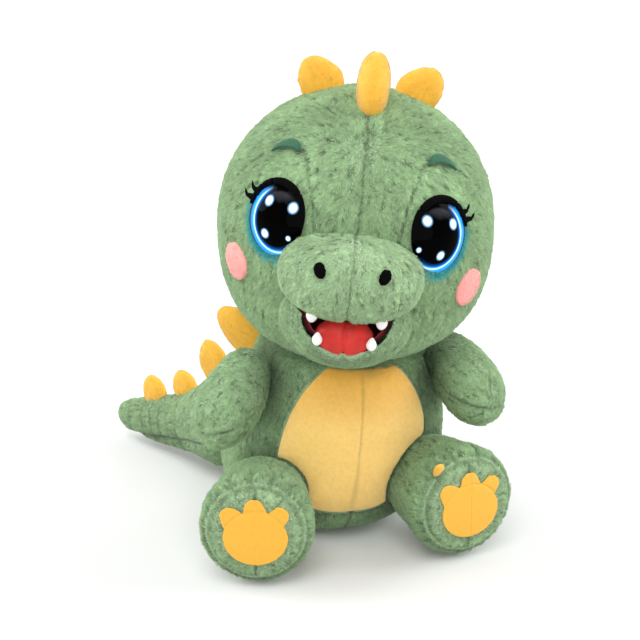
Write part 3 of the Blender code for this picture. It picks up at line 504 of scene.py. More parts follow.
def belly_plush(name, deep, colour, shaded):
    """Short gold pile, browner under the chin by painted shade."""
    mat = plush(name, deep, colour)
    tree = mat.node_tree
    place = tree.nodes.new("ShaderNodeTexCoord")
    split = tree.nodes.new("ShaderNodeSeparateXYZ")
    tree.links.new(place.outputs["Object"], split.inputs["Vector"])
    high = maths(tree, "MULTIPLY", split.outputs["Z"], 5.0)
    return multiplied(mat, ramp(tree, high, ((0.41, FULL), (0.58, shaded))))


def woven(name, deep, colour, pitch):
    """Plain weave: two crossing sets of threads."""
    mat, tree, shader = new_material(name)
    place = tree.nodes.new("ShaderNodeTexCoord")
    waves = []
    for direction in ("X", "Z"):
        wave = add_node(tree, "ShaderNodeTexWave", Scale=math.pi / (10.0 * pitch), Distortion=0.4,
                        bands_direction=direction)
        tree.links.new(place.outputs["Object"], wave.inputs["Vector"])
        waves.append(wave)
    weave = add_node(tree, "ShaderNodeMath", operation="MULTIPLY")
    for wave, socket in zip(waves, weave.inputs):
        tree.links.new(wave.outputs["Fac"], socket)
    band = ramp(tree, weave.outputs["Value"], ((0.0, deep), (0.8, colour)))
    bump = add_node(tree, "ShaderNodeBump", Strength=0.5, Distance=0.0004)
    tree.links.new(weave.outputs["Value"], bump.inputs["Height"])
    tree.links.new(bump.outputs["Normal"], shader.inputs["Normal"])
    tree.links.new(band.outputs["Color"], shader.inputs["Base Color"])
    shader.inputs["Roughness"].default_value = 0.9
    return mat


def strand_material(name, clear):
    """Pile strands: each takes its own tint, darkened at its root by painted shade, lets a share of the light
    through, and shades as a part of the velvet that it stands in."""
    mat, tree, shader = new_material(name)
    tint = add_node(tree, "ShaderNodeAttribute", attribute_name="tint")
    info = tree.nodes.new("ShaderNodeHairInfo")
    # Painted shade at the root, standing in for the shadow that the strands don't cast on each other
    shade = ramp(tree, info.outputs["Intercept"], ((0.0, (0.42, 0.42, 0.42)), (0.60, FULL)))
    colour = mixed(tree, "MULTIPLY", tint.outputs["Color"], shade.outputs["Color"])
    through = tree.nodes.new("ShaderNodeBsdfTranslucent")
    both = tree.nodes.new("ShaderNodeMixShader")
    both.inputs["Fac"].default_value = clear
    skin = add_node(tree, "ShaderNodeAttribute", attribute_name="skin")
    turn = add_node(tree, "ShaderNodeVectorTransform", vector_type="NORMAL", convert_from="OBJECT",
                    convert_to="WORLD")
    tree.links.new(skin.outputs["Vector"], turn.inputs["Vector"])
    tree.links.new(turn.outputs["Vector"], shader.inputs["Normal"])
    tree.links.new(colour, shader.inputs["Base Color"])
    tree.links.new(colour, through.inputs["Color"])
    tree.links.new(shader.outputs["BSDF"], both.inputs[1])
    tree.links.new(through.outputs["BSDF"], both.inputs[2])
    tree.links.new(both.outputs["Shader"], tree.nodes["Material Output"].inputs["Surface"])
    settle(shader, Roughness=0.8, Specular_IOR_Level=0.05, Sheen_Weight=0.60,
           Sheen_Roughness=0.35, Sheen_Tint=(*SHEEN, 1.0))
    return mat


def maths(tree, operation, a, b=None, c=None):
    node = tree.nodes.new("ShaderNodeMath")
    node.operation = operation
    for socket, value in zip(node.inputs, (a, b, c)):
        if value is None:
            continue
        if isinstance(value, (int, float)):
            socket.default_value = value
        else:
            tree.links.new(value, socket)
    return node.outputs["Value"]


def eye_material(name, painted_highlights):
    """Black plastic with a blue crescent and painted highlights that glow by emission as painted light, and a
    painted dim reflection at the top.
    """
    mat, tree, shader = new_material(name)
    mark = add_node(tree, "ShaderNodeAttribute", attribute_name="print")
    split = tree.nodes.new("ShaderNodeSeparateXYZ")
    tree.links.new(mark.outputs["Vector"], split.inputs["Vector"])
    u = split.outputs["X"]
    v = split.outputs["Y"]

    def ring_at(cu, cv, ru, rv):
        """Distance from a spot's middle, 1 at its edge."""
        du = maths(tree, "DIVIDE", maths(tree, "SUBTRACT", u, cu), ru)
        dv = maths(tree, "DIVIDE", maths(tree, "SUBTRACT", v, cv), rv)
        return maths(tree, "SQRT", maths(tree, "ADD", maths(tree, "MULTIPLY", du, du),
                                         maths(tree, "MULTIPLY", dv, dv)))

    from_middle = maths(tree, "MULTIPLY", ring_at(*CRESCENT_AT, *CRESCENT_HALF), CRESCENT_SCALE)
    ring = ramp(tree, from_middle, CRESCENT)
    outward = maths(tree, "MULTIPLY_ADD", v, CRESCENT_TURN, u)
    shown = ramp(tree, maths(tree, "MULTIPLY_ADD", outward, 0.5, 0.5), CRESCENT_ENDS)
    colour = mixed(tree, "MULTIPLY", ring.outputs["Color"], shown.outputs["Color"])
    # Painted reflection: a dim sheen over the top of the pupil
    notch = maths(tree, "MULTIPLY_ADD", maths(tree, "ABSOLUTE", maths(tree, "ADD", u, 0.25)), -0.30, v)
    sheen = ramp(tree, notch, PAINTED_UPPER_REFLECTION)
    inside = ramp(tree, from_middle, PUPIL_INSIDE)
    glint = mixed(tree, "MULTIPLY", sheen.outputs["Color"], inside.outputs["Color"])
    colour = mixed(tree, "LIGHTEN", colour, glint)
    # Painted highlights: white spots with a blue edge where lights would reflect
    for cu, cv, ru, rv in painted_highlights:
        spot = ramp(tree, maths(tree, "MULTIPLY", ring_at(cu, cv, ru, rv), 0.5), PAINTED_HIGHLIGHT)
        colour = mixed(tree, "LIGHTEN", colour, spot.outputs["Color"])
    tree.links.new(colour, shader.inputs["Base Color"])
    tree.links.new(colour, shader.inputs["Emission Color"])
    # Emission makes the crescent and the highlights glow: painted light, as the eye is no lamp
    settle(shader, Emission_Strength=0.6, Roughness=0.05, Specular_IOR_Level=0.02)
    return mat


# Eye print, in shares of the eye's half sizes, outwards and up: the crescent's oval, its colours out from
# the middle and where it shows; the painted dim reflection at the top; the painted highlights
CRESCENT_AT = (-0.208, -0.02)
CRESCENT_HALF = (0.793, 0.89)
CRESCENT_SCALE = 0.6
CRESCENT_TURN = -0.55
CRESCENT = (
    (0.480, NONE), (0.535, (0.002, 0.050, 0.240)), (0.572, (0.020, 0.260, 0.760)),
    (0.600, (0.680, 0.950, 1.000)), (0.632, (0.030, 0.330, 0.850)), (0.735, (0.010, 0.180, 0.640)),
    (0.805, (0.000, 0.012, 0.060)), (0.850, NONE),
)
CRESCENT_ENDS = ((0.33, NONE), (0.64, FULL))
PAINTED_UPPER_REFLECTION = ((0.38, NONE), (0.56, (0.016, 0.017, 0.020)), (0.74, (0.022, 0.023, 0.026)),
               (0.80, NONE))
PUPIL_INSIDE = ((0.47, FULL), (0.52, NONE))
PAINTED_HIGHLIGHT = ((0.43, FULL), (0.52, (0.16, 0.36, 0.62)), (0.76, NONE))
PAINTED_HIGHLIGHTS = {
    "right": ((0.08, 0.44, 0.110, 0.110), (-0.68, 0.325, 0.108, 0.118), (0.12, -0.40, 0.105, 0.095),
              (-0.60, -0.48, 0.055, 0.058)),
    "left": ((-0.62, 0.360, 0.110, 0.115), (0.21, 0.335, 0.110, 0.108), (-0.745, -0.420, 0.055, 0.060),
             (-0.065, -0.490, 0.095, 0.098)),
}
# Lashes: from the lid out to the tip, in shares of the eye's half sizes, outwards and up
LASHES = (
    ((0.62, 0.62), (0.80, 0.69), (0.92, 0.76), (0.99, 0.93)),
    ((0.78, 0.44), (0.99, 0.50), (1.14, 0.55), (1.23, 0.70)),
)
LASH_RADIUS = 0.0024

# Surfaces: the mottle, the bump and the shader's values of each kind
GROUND = dict(cloud=(420.0, 5.0), grain=(900.0, 0.9, 0.0012, (1.0, 1.0, 0.55)),
              Roughness=0.95, Specular_IOR_Level=0.15, Sheen_Weight=0.25, Sheen_Roughness=0.6)
FELT = dict(cloud=(1300.0, 8.0), grain=(2200.0, 0.5, 0.0005),
            Roughness=0.92, Specular_IOR_Level=0.2, Sheen_Weight=0.2)
NAP = {**FELT, "cloud": (700.0, 8.0)}
DULL_FELT = {**FELT, "Specular_IOR_Level": 0.04, "Sheen_Weight": 0.0}
SATIN = dict(cloud=(90.0, 3.0), grain=(1500.0, 0.15, 0.0003, (0.25, 1.0, 1.0)),
             Roughness=0.42, Specular_IOR_Level=0.25, Sheen_Weight=0.05)
PLASTIC = dict(cloud=(60.0, 2.0), grain=(1800.0, 0.06, 0.0002), Roughness=0.35)
FIBRE = dict(cloud=(160.0, 5.0), grain=(420.0, 0.8, 0.002, (1.0, 0.3, 1.0)), Roughness=1.0)
CLOTHS = {
    "yellow_plush": (YELLOW_DEEP, YELLOW, NAP),
    "yellow_felt": (YELLOW_DEEP, YELLOW, FELT),
    "pink_plush": (PINK_DEEP, PINK, NAP),
    "dark_green_felt": (deeper(BROW, 0.6), BROW, FELT),
    "black_felt": (deeper(BLACK, 0.5), BLACK, DULL_FELT),
    "maroon_satin": (deeper(MAROON, 0.5), MAROON, SATIN),
    "red_satin": (deeper(RED, 0.7), RED, SATIN),
    "white_felt": (WHITE_DEEP, WHITE, FELT),
    "washer_plastic": (deeper(WASHER, 0.9), WASHER, PLASTIC),
    "stuffing": (FILL_DEEP, FILL, FIBRE),
}
materials = {name: cloth(name, deep, colour, **kind) for name, (deep, colour, kind) in CLOTHS.items()}
materials["green_plush"] = plush("green_plush", GREEN_DEEP, GREEN)
materials["pale_green_plush"] = plush("pale_green_plush", PALE_DEEP, PALE)
materials["gold_plush"] = belly_plush("gold_plush", GOLD_DEEP, GOLD, CHIN_SHADE)
materials["bag_cloth"] = woven("bag_cloth", BAG_DEEP, BAG, 0.0007)
materials["seam_thread"] = woven("seam_thread", THREAD_DEEP, THREAD, 0.0005)
pile_material = strand_material("pile", 0.42)
velvet_material = strand_material("velvet", 0.10)


def dress(obj, body, slot, *replaced, fill=None):
    """Gives a finished piece its material, its body and the nodes that it stands for."""
    obj.data.materials.clear()
    obj.data.materials.append(materials[slot])
    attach(obj, body)
    if replaced:
        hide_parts(*replaced)
    return obj


# Pile

def unit(v):
    return v / np.maximum(np.linalg.norm(v, axis=1), 1e-9)[:, None]


def scatter(obj, count, rng):
    """Random points on a mesh, even by area, with the smooth normal at each."""
    mesh = obj.data
    mesh.calc_loop_triangles()
    tri = np.empty(len(mesh.loop_triangles) * 3, np.int32)
    mesh.loop_triangles.foreach_get("vertices", tri)
    tri = tri.reshape(-1, 3)
    co = coordinates(mesh)
    no = normals(mesh)
    a, b, c = co[tri[:, 0]], co[tri[:, 1]], co[tri[:, 2]]
    area = 0.5 * np.linalg.norm(np.cross(b - a, c - a), axis=1)
    pick = np.searchsorted(np.cumsum(area) / area.sum(), rng.random(count))
    pick = np.minimum(pick, len(tri) - 1)
    r = np.sqrt(rng.random(count))[:, None]
    s = rng.random(count)[:, None]
    w = (1.0 - r, r * (1.0 - s), r * s)
    points = sum(k * co[tri[pick, i]] for i, k in enumerate(w))
    ways = unit(sum(k * no[tri[pick, i]] for i, k in enumerate(w)))
    return points, ways


def mesh_area(obj):
    return sum(f.area for f in obj.data.polygons)


def near_objects(objs, full):
    """Distance to some objects, up to full."""
    verts, faces = joined(objs)
    tree = BVHTree.FromPolygons(verts, faces)
    corners = np.array(verts)
    low = corners.min(axis=0) - full
    high = corners.max(axis=0) + full

    def distance(co):
        gap = np.full(len(co), full)
        for i in np.flatnonzero(((co > low) & (co < high)).all(axis=1)):
            hit = tree.find_nearest(Vector(co[i]), full)
            if hit[3] is not None:
                gap[i] = hit[3]
        return gap
    return distance


def near_nodes(names, full):
    return near_objects([nodes[n] for n in names], full)


def noise_at(co, size, shift):
    offset = Vector((shift * 1.3, shift * 0.7, shift * 2.1))
    return np.array([noise.noise(Vector(p) / size + offset) for p in co])


def fur(obj, body, comb, colour, length=PILE, density=DENSITY, strand=STRAND, seams=(), bare=(),
        lay=PILE_LAY, keep=None, tint=None, parting=0.58, line=(0.66, 0.0009), seed=1):
    """Strands of pile on a skin. comb gives the way they are brushed; bare holds (distance, clear, full,
    dark) for what lies on the skin, dark being the painted shade next to it; keep says which roots grow; tint
    recolours strands; parting paints shade into cracks along the lay and light between them; line is how dark
    and how wide the painted shade along its seams is."""
    rng = np.random.default_rng(seed)
    share = 1.0
    roots, out = scatter(obj, int(mesh_area(obj) * density * share), rng)
    if keep is not None:
        grows = keep(roots)
        roots, out = roots[grows], out[grows]
    size = np.ones(len(roots))
    shade = np.ones(len(roots))
    grows = np.ones(len(roots), bool)
    # Next to what lies on the skin the strands are shorter and darker: painted shade
    for distance, clear, full, dark in bare:
        gap = distance(roots)
        grows &= gap > clear
        near = np.clip((full - gap) / (full - clear), 0.0, 1.0)
        size *= 1.0 - 0.5 * near
        shade *= 1.0 - (1.0 - dark) * near
    roots, out, size, shade = roots[grows], out[grows], size[grows], shade[grows]
    count = len(roots)
    flow = comb(roots, out)
    flow = unit(flow - (flow * out).sum(1)[:, None] * out)
    seen = roots + 0.5 * length * flow
    # Painted shade along the seams, taken where the strands lie over them
    if seams:
        size *= 1.0 - 0.45 * np.exp(-(seam_distance(roots, seams) / 0.0018) ** 2)
        shade *= 1.0 - line[0] * np.exp(-(seam_distance(seen, seams) / line[1]) ** 2)
    # Partings: painted shade in cracks along the lay and painted light on the streaks between them, then a wider
    # wander of tone
    if parting:
        streak = sum(noise_at(roots + step * PARTING_STEP * flow, PARTING_SIZE, seed)
                     for step in (-2, -1, 0, 1, 2))
        streak /= max(streak.std(), 1e-9)
        crack = np.clip((streak - 0.7) / 0.9, 0.0, 1.0)
        size *= 1.0 - 0.4 * crack
        shade *= 1.0 - parting * crack + 0.2 * parting * np.clip(-streak - 0.3, 0.0, 1.5)
        shade *= 1.0 + 0.3 * parting * noise_at(roots, 0.018, seed + 5)

    clumps = max(int(mesh_area(obj) / CLUMP ** 2), 1)
    centres, _ = scatter(obj, clumps, rng)
    kd = KDTree(clumps)
    for i, p in enumerate(centres):
        kd.insert(Vector(p), i)
    kd.balance()
    group = np.array([kd.find(Vector(p))[1] for p in roots])
    turn = rng.normal(0.0, 0.30, clumps)[group] + rng.normal(0.0, 0.22, count)
    turn += 0.9 * noise_at(roots, 0.013, seed + 9)
    side = np.cross(out, flow)
    flow = unit(flow * np.cos(turn)[:, None] + side * np.sin(turn)[:, None])
    tuft = rng.normal(1.0, 0.06, clumps)[group]
    size *= length * np.clip(tuft * rng.normal(1.0, 0.14, count), 0.5, 1.4)
    rest = np.clip(rng.normal(1.0, 0.07, clumps)[group], 0.7, 1.12)

    steps = 4
    path = np.empty((count, steps, 3), np.float32)
    point = roots - out * 0.0003
    path[:, 0] = point
    pull = centres[group] - roots
    for k in range(1, steps):
        angle = np.radians(lay[0] + (lay[1] - lay[0]) * (k - 0.5) / (steps - 1.5)) * rest
        reach = (size / (steps - 1))[:, None]
        point = point + reach * (np.cos(angle)[:, None] * out + np.sin(angle)[:, None] * flow)
        path[:, k] = point + pull * (0.18 * (k / (steps - 1)) ** 1.3)
    taper = np.array([1.0, 0.9, 0.65, 0.25])
    thick = strand * np.outer(np.clip(rng.normal(1.0, 0.2, count), 0.5, 1.5), taper)
    shade *= rng.normal(1.0, 0.09, clumps)[group] * rng.normal(1.0, 0.09, count)
    colours = np.ones((count, 4), np.float32)
    colours[:, :3] = np.array(colour) * shade[:, None]
    if tint is not None:
        colours[:, :3] = tint(seen, colours[:, :3])
    ways = unit(out + STRAND_STRAY * rng.normal(0.0, 1.0, (count, 3)))
    material = pile_material if length > PILE_VELVET else velvet_material
    strands = hair("pile_" + obj.name, path, thick, np.clip(colours, 0.0, 1.0), ways, material)
    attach(strands, body)


def hair(name, path, thick, colours, ways, material):
    """Hair curves along some paths, each with its tint and the way out of the skin under it."""
    count, steps, _ = path.shape
    curves = bpy.data.hair_curves.new(name)
    curves.add_curves([steps] * count)
    curves.attributes["position"].data.foreach_set("vector", path.ravel())
    radius = curves.attributes.get("radius") or curves.attributes.new("radius", "FLOAT", "POINT")
    radius.data.foreach_set("value", thick.astype(np.float32).ravel())
    attribute = curves.attributes.new("tint", "FLOAT_COLOR", "CURVE")
    attribute.data.foreach_set("color", colours.ravel())
    attribute = curves.attributes.new("skin", "FLOAT_VECTOR", "CURVE")
    attribute.data.foreach_set("vector", ways.astype(np.float32).ravel())
    curves.materials.append(material)
    strands = bpy.data.objects.new(name, curves)
    strands.visible_shadow = False
    strands.visible_diffuse = False
    scene.collection.objects.link(strands)
    return strands


def brushed(way):
    """Pile brushed the same way all over."""
    w = np.array(way, float)
    return lambda co, out: np.tile(w, (len(co), 1))


def brushed_from(point, drop=0.0):
    """Pile brushed away from a point, and down by a share."""
    p = np.array(point, float)

    def comb(co, out):
        return unit(co - p) + np.array((0.0, 0.0, -drop))
    return comb


# Face frame

def compass(azimuth, elevation=0.0):
    a = math.radians(azimuth)
    e = math.radians(elevation)
    return Vector((math.sin(a) * math.cos(e), -math.cos(a) * math.cos(e), math.sin(e)))


def head_reach(d):
    flat = math.hypot(d.x, d.y) / HEAD_RADIUS
    if d.z >= 0.0:
        return 1.0 / math.sqrt(flat * flat + (d.z / HEAD_UP) ** 2)
    return (flat ** HEAD_FULLNESS + (-d.z / HEAD_DOWN) ** HEAD_FULLNESS) ** (-1.0 / HEAD_FULLNESS)


def head_point(azimuth, elevation, h=0.0):
    d = (HEAD_TURN @ compass(azimuth, elevation)).normalized()
    return HEAD_CENTRE + d * (head_reach(d) + h)


def on_head(azimuth, elevation):
    """A place function about a point of the face: u to the toy's left, v up and h out."""
    middle = compass(azimuth, elevation)
    across = compass(azimuth + 90.0)
    up = across.cross(-middle).normalized()
    if up.z < 0.0:
        up = -up

    def place(u, v, h):
        d = (middle + (across * u + up * v) / HEAD_RADIUS).normalized()
        d = (HEAD_TURN @ d).normalized()
        return HEAD_CENTRE + d * (head_reach(d) + h)
    return place


def leaning(u, v, lean):
    c = math.cos(math.radians(lean))
    s = math.sin(math.radians(lean))
    return u * c + v * s, v * c - u * s


def face_spot(co, azimuth, elevation, half, lean=0.0):
    """Where points lie about a spot of the face, in shares of its half sizes: aside, up, 1 at its edge."""
    d = (co - np.array(HEAD_CENTRE)) @ np.array(HEAD_TURN)
    middle = compass(azimuth, elevation)
    across = compass(azimuth + 90.0)
    up = across.cross(-middle).normalized()
    ahead = d @ np.array(middle)
    front = np.maximum(ahead, 1e-6)
    u = HEAD_RADIUS * (d @ np.array(across)) / front
    v = HEAD_RADIUS * (d @ np.array(up)) / front
    u, v = leaning(u, v, -lean)
    u = u / half[0]
    v = v / half[1]
    return u, v, np.where(ahead > 0.0, np.hypot(u, v), 9.0)


def outside_oval(azimuth, elevation, half, lean=0.0):
    """Distance outside an oval on the face, below 0 inside it."""
    return lambda co: (face_spot(co, azimuth, elevation, half, lean)[2] - 1.0) * 0.5 * (half[0] + half[1])


def dome(name, place, edge, rings, sides, low, height):
    """A closed sewn-on piece: edge(t) is its outline, height(s) its upper face from middle to edge."""
    verts = [place(0.0, 0.0, height(0.0))]
    faces = []
    levels = [(k / rings, None) for k in range(1, rings + 1)] + [(1.0, low), (0.5, low)]
    for s, h in levels:
        for i in range(sides):
            u, v = edge(2.0 * math.pi * i / sides)
            verts.append(place(u * s, v * s, height(s) if h is None else h))
    verts.append(place(0.0, 0.0, low))
    for i in range(sides):
        j = (i + 1) % sides
        faces.append((0, 1 + i, 1 + j))
        for k in range(len(levels) - 1):
            a = 1 + k * sides
            faces.append((a + i, a + sides + i, a + sides + j, a + j))
        a = 1 + (len(levels) - 1) * sides
        faces.append((a + i, len(verts) - 1, a + j))
    obj = piece(name, verts, faces)
    face_out(obj)
    return obj


def face_out(obj):
    bm = bmesh.new()
    bm.from_mesh(obj.data)
    bmesh.ops.recalc_face_normals(bm, faces=bm.faces)
    bm.to_mesh(obj.data)
    bm.free()
    obj.data.shade_smooth()


def horn(name, points, radii, sides=10):
    """A round tapering cord through points, closed at both ends."""
    verts = []
    faces = []
    for i, p in enumerate(points):
        along = points[min(i + 1, len(points) - 1)] - points[max(i - 1, 0)]
        z = along.normalized()
        x = z.orthogonal().normalized()
        y = z.cross(x)
        for j in range(sides):
            a = 2.0 * math.pi * j / sides
            verts.append(p + (x * math.cos(a) + y * math.sin(a)) * radii[i])
    for i in range(len(points) - 1):
        for j in range(sides):
            k = (j + 1) % sides
            faces.append((i * sides + j, i * sides + k, (i + 1) * sides + k, (i + 1) * sides + j))
    faces.append(tuple(range(sides))[::-1])
    faces.append(tuple(range((len(points) - 1) * sides, len(points) * sides)))
    obj = piece(name, verts, faces)
    face_out(obj)
    return obj


# Limb frames

def aim(origin, direction, roll_towards=(0.0, 0.0, 1.0)):
    """A frame with local Z along a direction and local Y as near to roll_towards as it can be."""
    z = Vector(direction).normalized()
    x = Vector(roll_towards).cross(z).normalized()
    turn = Matrix((x, z.cross(x), z)).transposed().to_4x4()
    return Matrix.Translation(origin) @ turn


def in_frame(co, place):
    inverse = np.array(place.inverted())
    return co @ inverse[:3, :3].T + inverse[:3, 3]


def round_seam(place, radius, along):
    """A seam round a limb's axis."""
    def distance(co):
        p = in_frame(co, place)
        turn = np.arctan2(p[:, 0], p[:, 1])
        wander = 0.0005 * np.sin(9.0 * turn) + 0.0004 * np.sin(23.0 * turn + 1.0)
        return np.hypot(np.hypot(p[:, 0], p[:, 1]) - radius - wander, p[:, 2] - along)
    return distance


def across_seam(place, along, bow=0.0):
    """A seam across a limb, bowed towards its tip by a share of the distance from its axis."""
    def distance(co):
        p = in_frame(co, place)
        return np.abs(p[:, 2] - along + bow * np.hypot(p[:, 0], p[:, 1]))
    return distance


def gathers(place, angles, low, high):
    """Short creases at angles round a limb from its top, narrowing from the far end to the near one."""
    def distance(co):
        p = in_frame(co, place)
        turn = np.degrees(np.arctan2(p[:, 0], p[:, 1]))
        reach = np.hypot(p[:, 0], p[:, 1])
        beyond = np.maximum(np.maximum(low - p[:, 2], p[:, 2] - high), 0.0)
        narrow = 1.0 + 1.6 * np.clip((high - p[:, 2]) / (high - low), 0.0, 1.0)
        asides = (np.radians(np.abs((turn - a + 180.0) % 360.0 - 180.0)) * reach for a in angles)
        return least_of((np.hypot(aside * narrow, beyond) for aside in asides), len(co))
    return distance


joints = {j["name"]: Vector(j["pos_m"]) for j in frame["joints"]}

# Torso
TORSO_LEAN = Vector((0.007, -0.016, 0.0))
TORSO_LEAN_HEIGHT = 0.13
side_seams = [in_plane((0.0, 0.012, 0.0), (0.0, 1.0, 0.0)),
              in_plane((0.0, 0.0, 0.0), (1.0, 0.0, 0.0), lambda co: (co[:, 1] > 0.0) | (co[:, 2] < 0.026))]
torso = outer_form("torso_plush", ["torso_skin"], *SKINS["torso"])
held = seam_distance(coordinates(torso.data), side_seams) < 0.0025
held |= coordinates(torso.data)[:, 2] < SEAT_HELD
puff(torso, held)
subdivide(torso)
carve(torso, side_seams, depth=0.0010)
relief(torso, *RELIEF, 1)
dress(torso, "torso", "green_plush", "torso_skin", fill=0.85)

# Belly
BELLY_TURN = -1.5
BELLY_AZIMUTH = 42.5
BELLY_LOW = 0.0235
BELLY_HIGH = 0.1240
BELLY_PUFF = 0.0024
HIP_CLEAR = 0.0318
HEAD_CLEAR = 0.0010
torso_tree = BVHTree.FromPolygons(*joined([torso]))


def on_belly(u, v, h):
    """A point on the torso's front: u round it, v up, both 1 at the panel's ends, and h out of the skin."""
    z = 0.5 * (BELLY_LOW + BELLY_HIGH) + 0.5 * v * (BELLY_HIGH - BELLY_LOW)
    f = min(z / TORSO_LEAN_HEIGHT, 1.0)
    axis = TORSO_LEAN * (f * f * (3.0 - 2.0 * f)) + Vector((0.0, 0.0, z))
    out = compass(BELLY_TURN + u * BELLY_AZIMUTH)
    at, normal, _, _ = torso_tree.ray_cast(axis + out * 0.3, -out, 0.3)
    return at + normal * h


def belly_clear(point):
    """Whether the panel may reach a point: not into the legs nor the head."""
    if any((point - joints["hip_" + side]).length < HIP_CLEAR for side, _ in SIDES):
        return False
    d = point - HEAD_CENTRE
    return d.length > head_reach(d.normalized()) + HEAD_CLEAR


def belly_edge(t):
    """The panel's outline, drawn in where a leg or the head is in its way."""
    c = math.cos(t)
    s = math.sin(t)
    u = math.copysign(abs(c) ** 0.8, c) * (1.0 - 0.10 * s)
    v = math.copysign(abs(s) ** 0.8, s)
    reach = 0.30
    while reach < 0.995 and belly_clear(on_belly(u * (reach + 0.01), v * (reach + 0.01), BELLY_PUFF)):
        reach += 0.01
    return u * reach, v * reach


belly_sides = 168
belly_outline = [belly_edge(2.0 * math.pi * i / belly_sides) for i in range(belly_sides)]
belly_line = [on_belly(0.0, v, BELLY_PUFF) for v in np.linspace(-0.98, 0.90, 60)]
belly_seam = [along_line(belly_line)]
belly = dome("belly_plush", on_belly,
             lambda t: belly_outline[round(t / (2.0 * math.pi) * belly_sides) % belly_sides],
             44, belly_sides, -0.0020, lambda s: BELLY_PUFF * (1.0 - 0.6 * s ** 8))
carve(belly, belly_seam, depth=0.0006, width=0.0007, dark=0.35)
relief(belly, 0.00015, 0.006, 17)
dress(belly, "torso", "gold_plush", "belly_panel", fill=0.5)

# Head
def over_head(points):
    """A seam over the head, whatever the skin's depth there."""
    line = along_line([(Vector(p) - HEAD_CENTRE).normalized() * HEAD_RADIUS for p in points])
    return lambda co: line(unit(co - np.array(HEAD_CENTRE)) * HEAD_RADIUS)


head_seams = [over_head(smooth_line([head_point(sign * a, e) for a, e in seam], 60))
              for side, sign in SIDES for seam in (SEAM_INNER, SEAM_OUTER)]
head_seams.append(in_plane(HEAD_CENTRE, FACE_X))
head = outer_form("head_plush", ["head_skin"], *SKINS["head"])
puff(head, seam_distance(coordinates(head.data), head_seams) < 0.0022)
subdivide(head)
carve(head, head_seams, depth=0.0015, width=0.0014, dark=0.45)
relief(head, *RELIEF, 2)
dress(head, "head", "green_plush", "head_skin", fill=0.9)

# Muzzle, jaw and mouth
MUZZLE_FULLER = 0.0006
LINING_TUCK = 0.0035
TONGUE_SHIFT = Vector((0.0, -0.0012, -0.0012))
middle_seam = [in_plane(HEAD_CENTRE - FACE_X * 0.001, FACE_X)]
muzzle = solid_form("muzzle_plush", "muzzle", voxel=0.003, inset=-MUZZLE_FULLER, steps=6)
co = coordinates(muzzle.data)
inner = np.linalg.norm(co - np.array(HEAD_CENTRE), axis=1) < HEAD_RADIUS + 0.003
puff(muzzle, inner | (seam_distance(co, middle_seam) < 0.002), 0.0018)
subdivide(muzzle)
carve(muzzle, middle_seam, depth=0.0009, width=0.0012, dark=0.35)
relief(muzzle, 0.0002, 0.004, 3)
dress(muzzle, "head", "pale_green_plush", "muzzle", fill=0.9)

jaw = solid_form("jaw_plush", "lower_jaw", voxel=0.0020, inset=0.0006, steps=12)
subdivide(jaw)
relief(jaw, 0.0002, 0.004, 4)
dress(jaw, "head", "green_plush", "lower_jaw", fill=0.9)

lining = solid_form("mouth_cloth", "mouth_lining", voxel=0.0007, inset=0.0, steps=3)
co = coordinates(lining.data)
away = co - np.array(HEAD_CENTRE)
reach = np.linalg.norm(away, axis=1)
tuck = LINING_TUCK * np.clip((reach - HEAD_RADIUS - 0.003) / 0.009, 0.0, 1.0)
set_coordinates(lining.data, co - away / reach[:, None] * tuck[:, None])
dress(lining, "head", "maroon_satin", "mouth_lining")

tongue = solid_form("tongue_satin", "tongue", voxel=0.0012, inset=-0.0021, steps=8)
set_coordinates(tongue.data, coordinates(tongue.data) + np.array(HEAD_TURN @ TONGUE_SHIFT))
carve(tongue, middle_seam, depth=0.0015, width=0.0010)
dress(tongue, "head", "red_satin", "tongue", fill=0.8)

TOOTH_HALF = {"upper": (0.0035, 0.0030, 0.0041), "lower": (0.0031, 0.0029, 0.0041)}
TOOTH_SHIFT = {"upper": (0.0005, 0.0000, 0.0028), "lower": (0.0014, -0.0008, -0.0028)}
for row, half in TOOTH_HALF.items():
    for side, sign in SIDES:
        node = "tooth_%s_%s" % (row, side)
        low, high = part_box(node)
        inwards, ahead, up = TOOTH_SHIFT[row]
        shift = Vector((-sign * inwards, ahead, up))
        bm = bmesh.new()
        bmesh.ops.create_icosphere(bm, subdivisions=4, radius=1.0)
        point = -1.0 if row == "upper" else 1.0
        for v in bm.verts:
            slim = 1.0 - (0.18 if row == "upper" else 0.42) * max(0.0, point * v.co.z)
            v.co = Vector((v.co.x * half[0] * slim, v.co.y * half[1] * slim, v.co.z * half[2]))
            v.co = 0.5 * (low + high) + HEAD_TURN @ (v.co + shift)
        mesh = bpy.data.meshes.new(node + "_felt")
        bm.to_mesh(mesh)
        bm.free()
        dress(link(node + "_felt", mesh), "head", "white_felt", node, fill=0.9)

# Eyes, lids, brows, cheeks and nostrils
NOSTRIL_OUT = 0.0018


def brow_arch(u):
    """Heights of a brow's lower and upper edges, u metres outwards from its middle."""
    f = np.clip(u / BROW_HALF[0], -1.0, 1.0)
    arch = 1.0 - f * f
    middle = -0.45 * BROW_HALF[1]
    return middle + 0.28 * BROW_HALF[1] * arch, middle + BROW_HALF[1] * arch ** 0.55 * (1.0 - 0.18 * f)


def outside_brow(sign):
    def distance(co):
        u, v, edge = face_spot(co, sign * BROW_AT[0], BROW_AT[1], (1.0, 1.0), sign * BROW_LEAN)
        low, high = brow_arch(sign * u)
        gap = np.maximum(np.maximum(low - v, v - high), np.abs(u) - BROW_HALF[0])
        return np.where(edge < 9.0, gap, 1.0)
    return distance


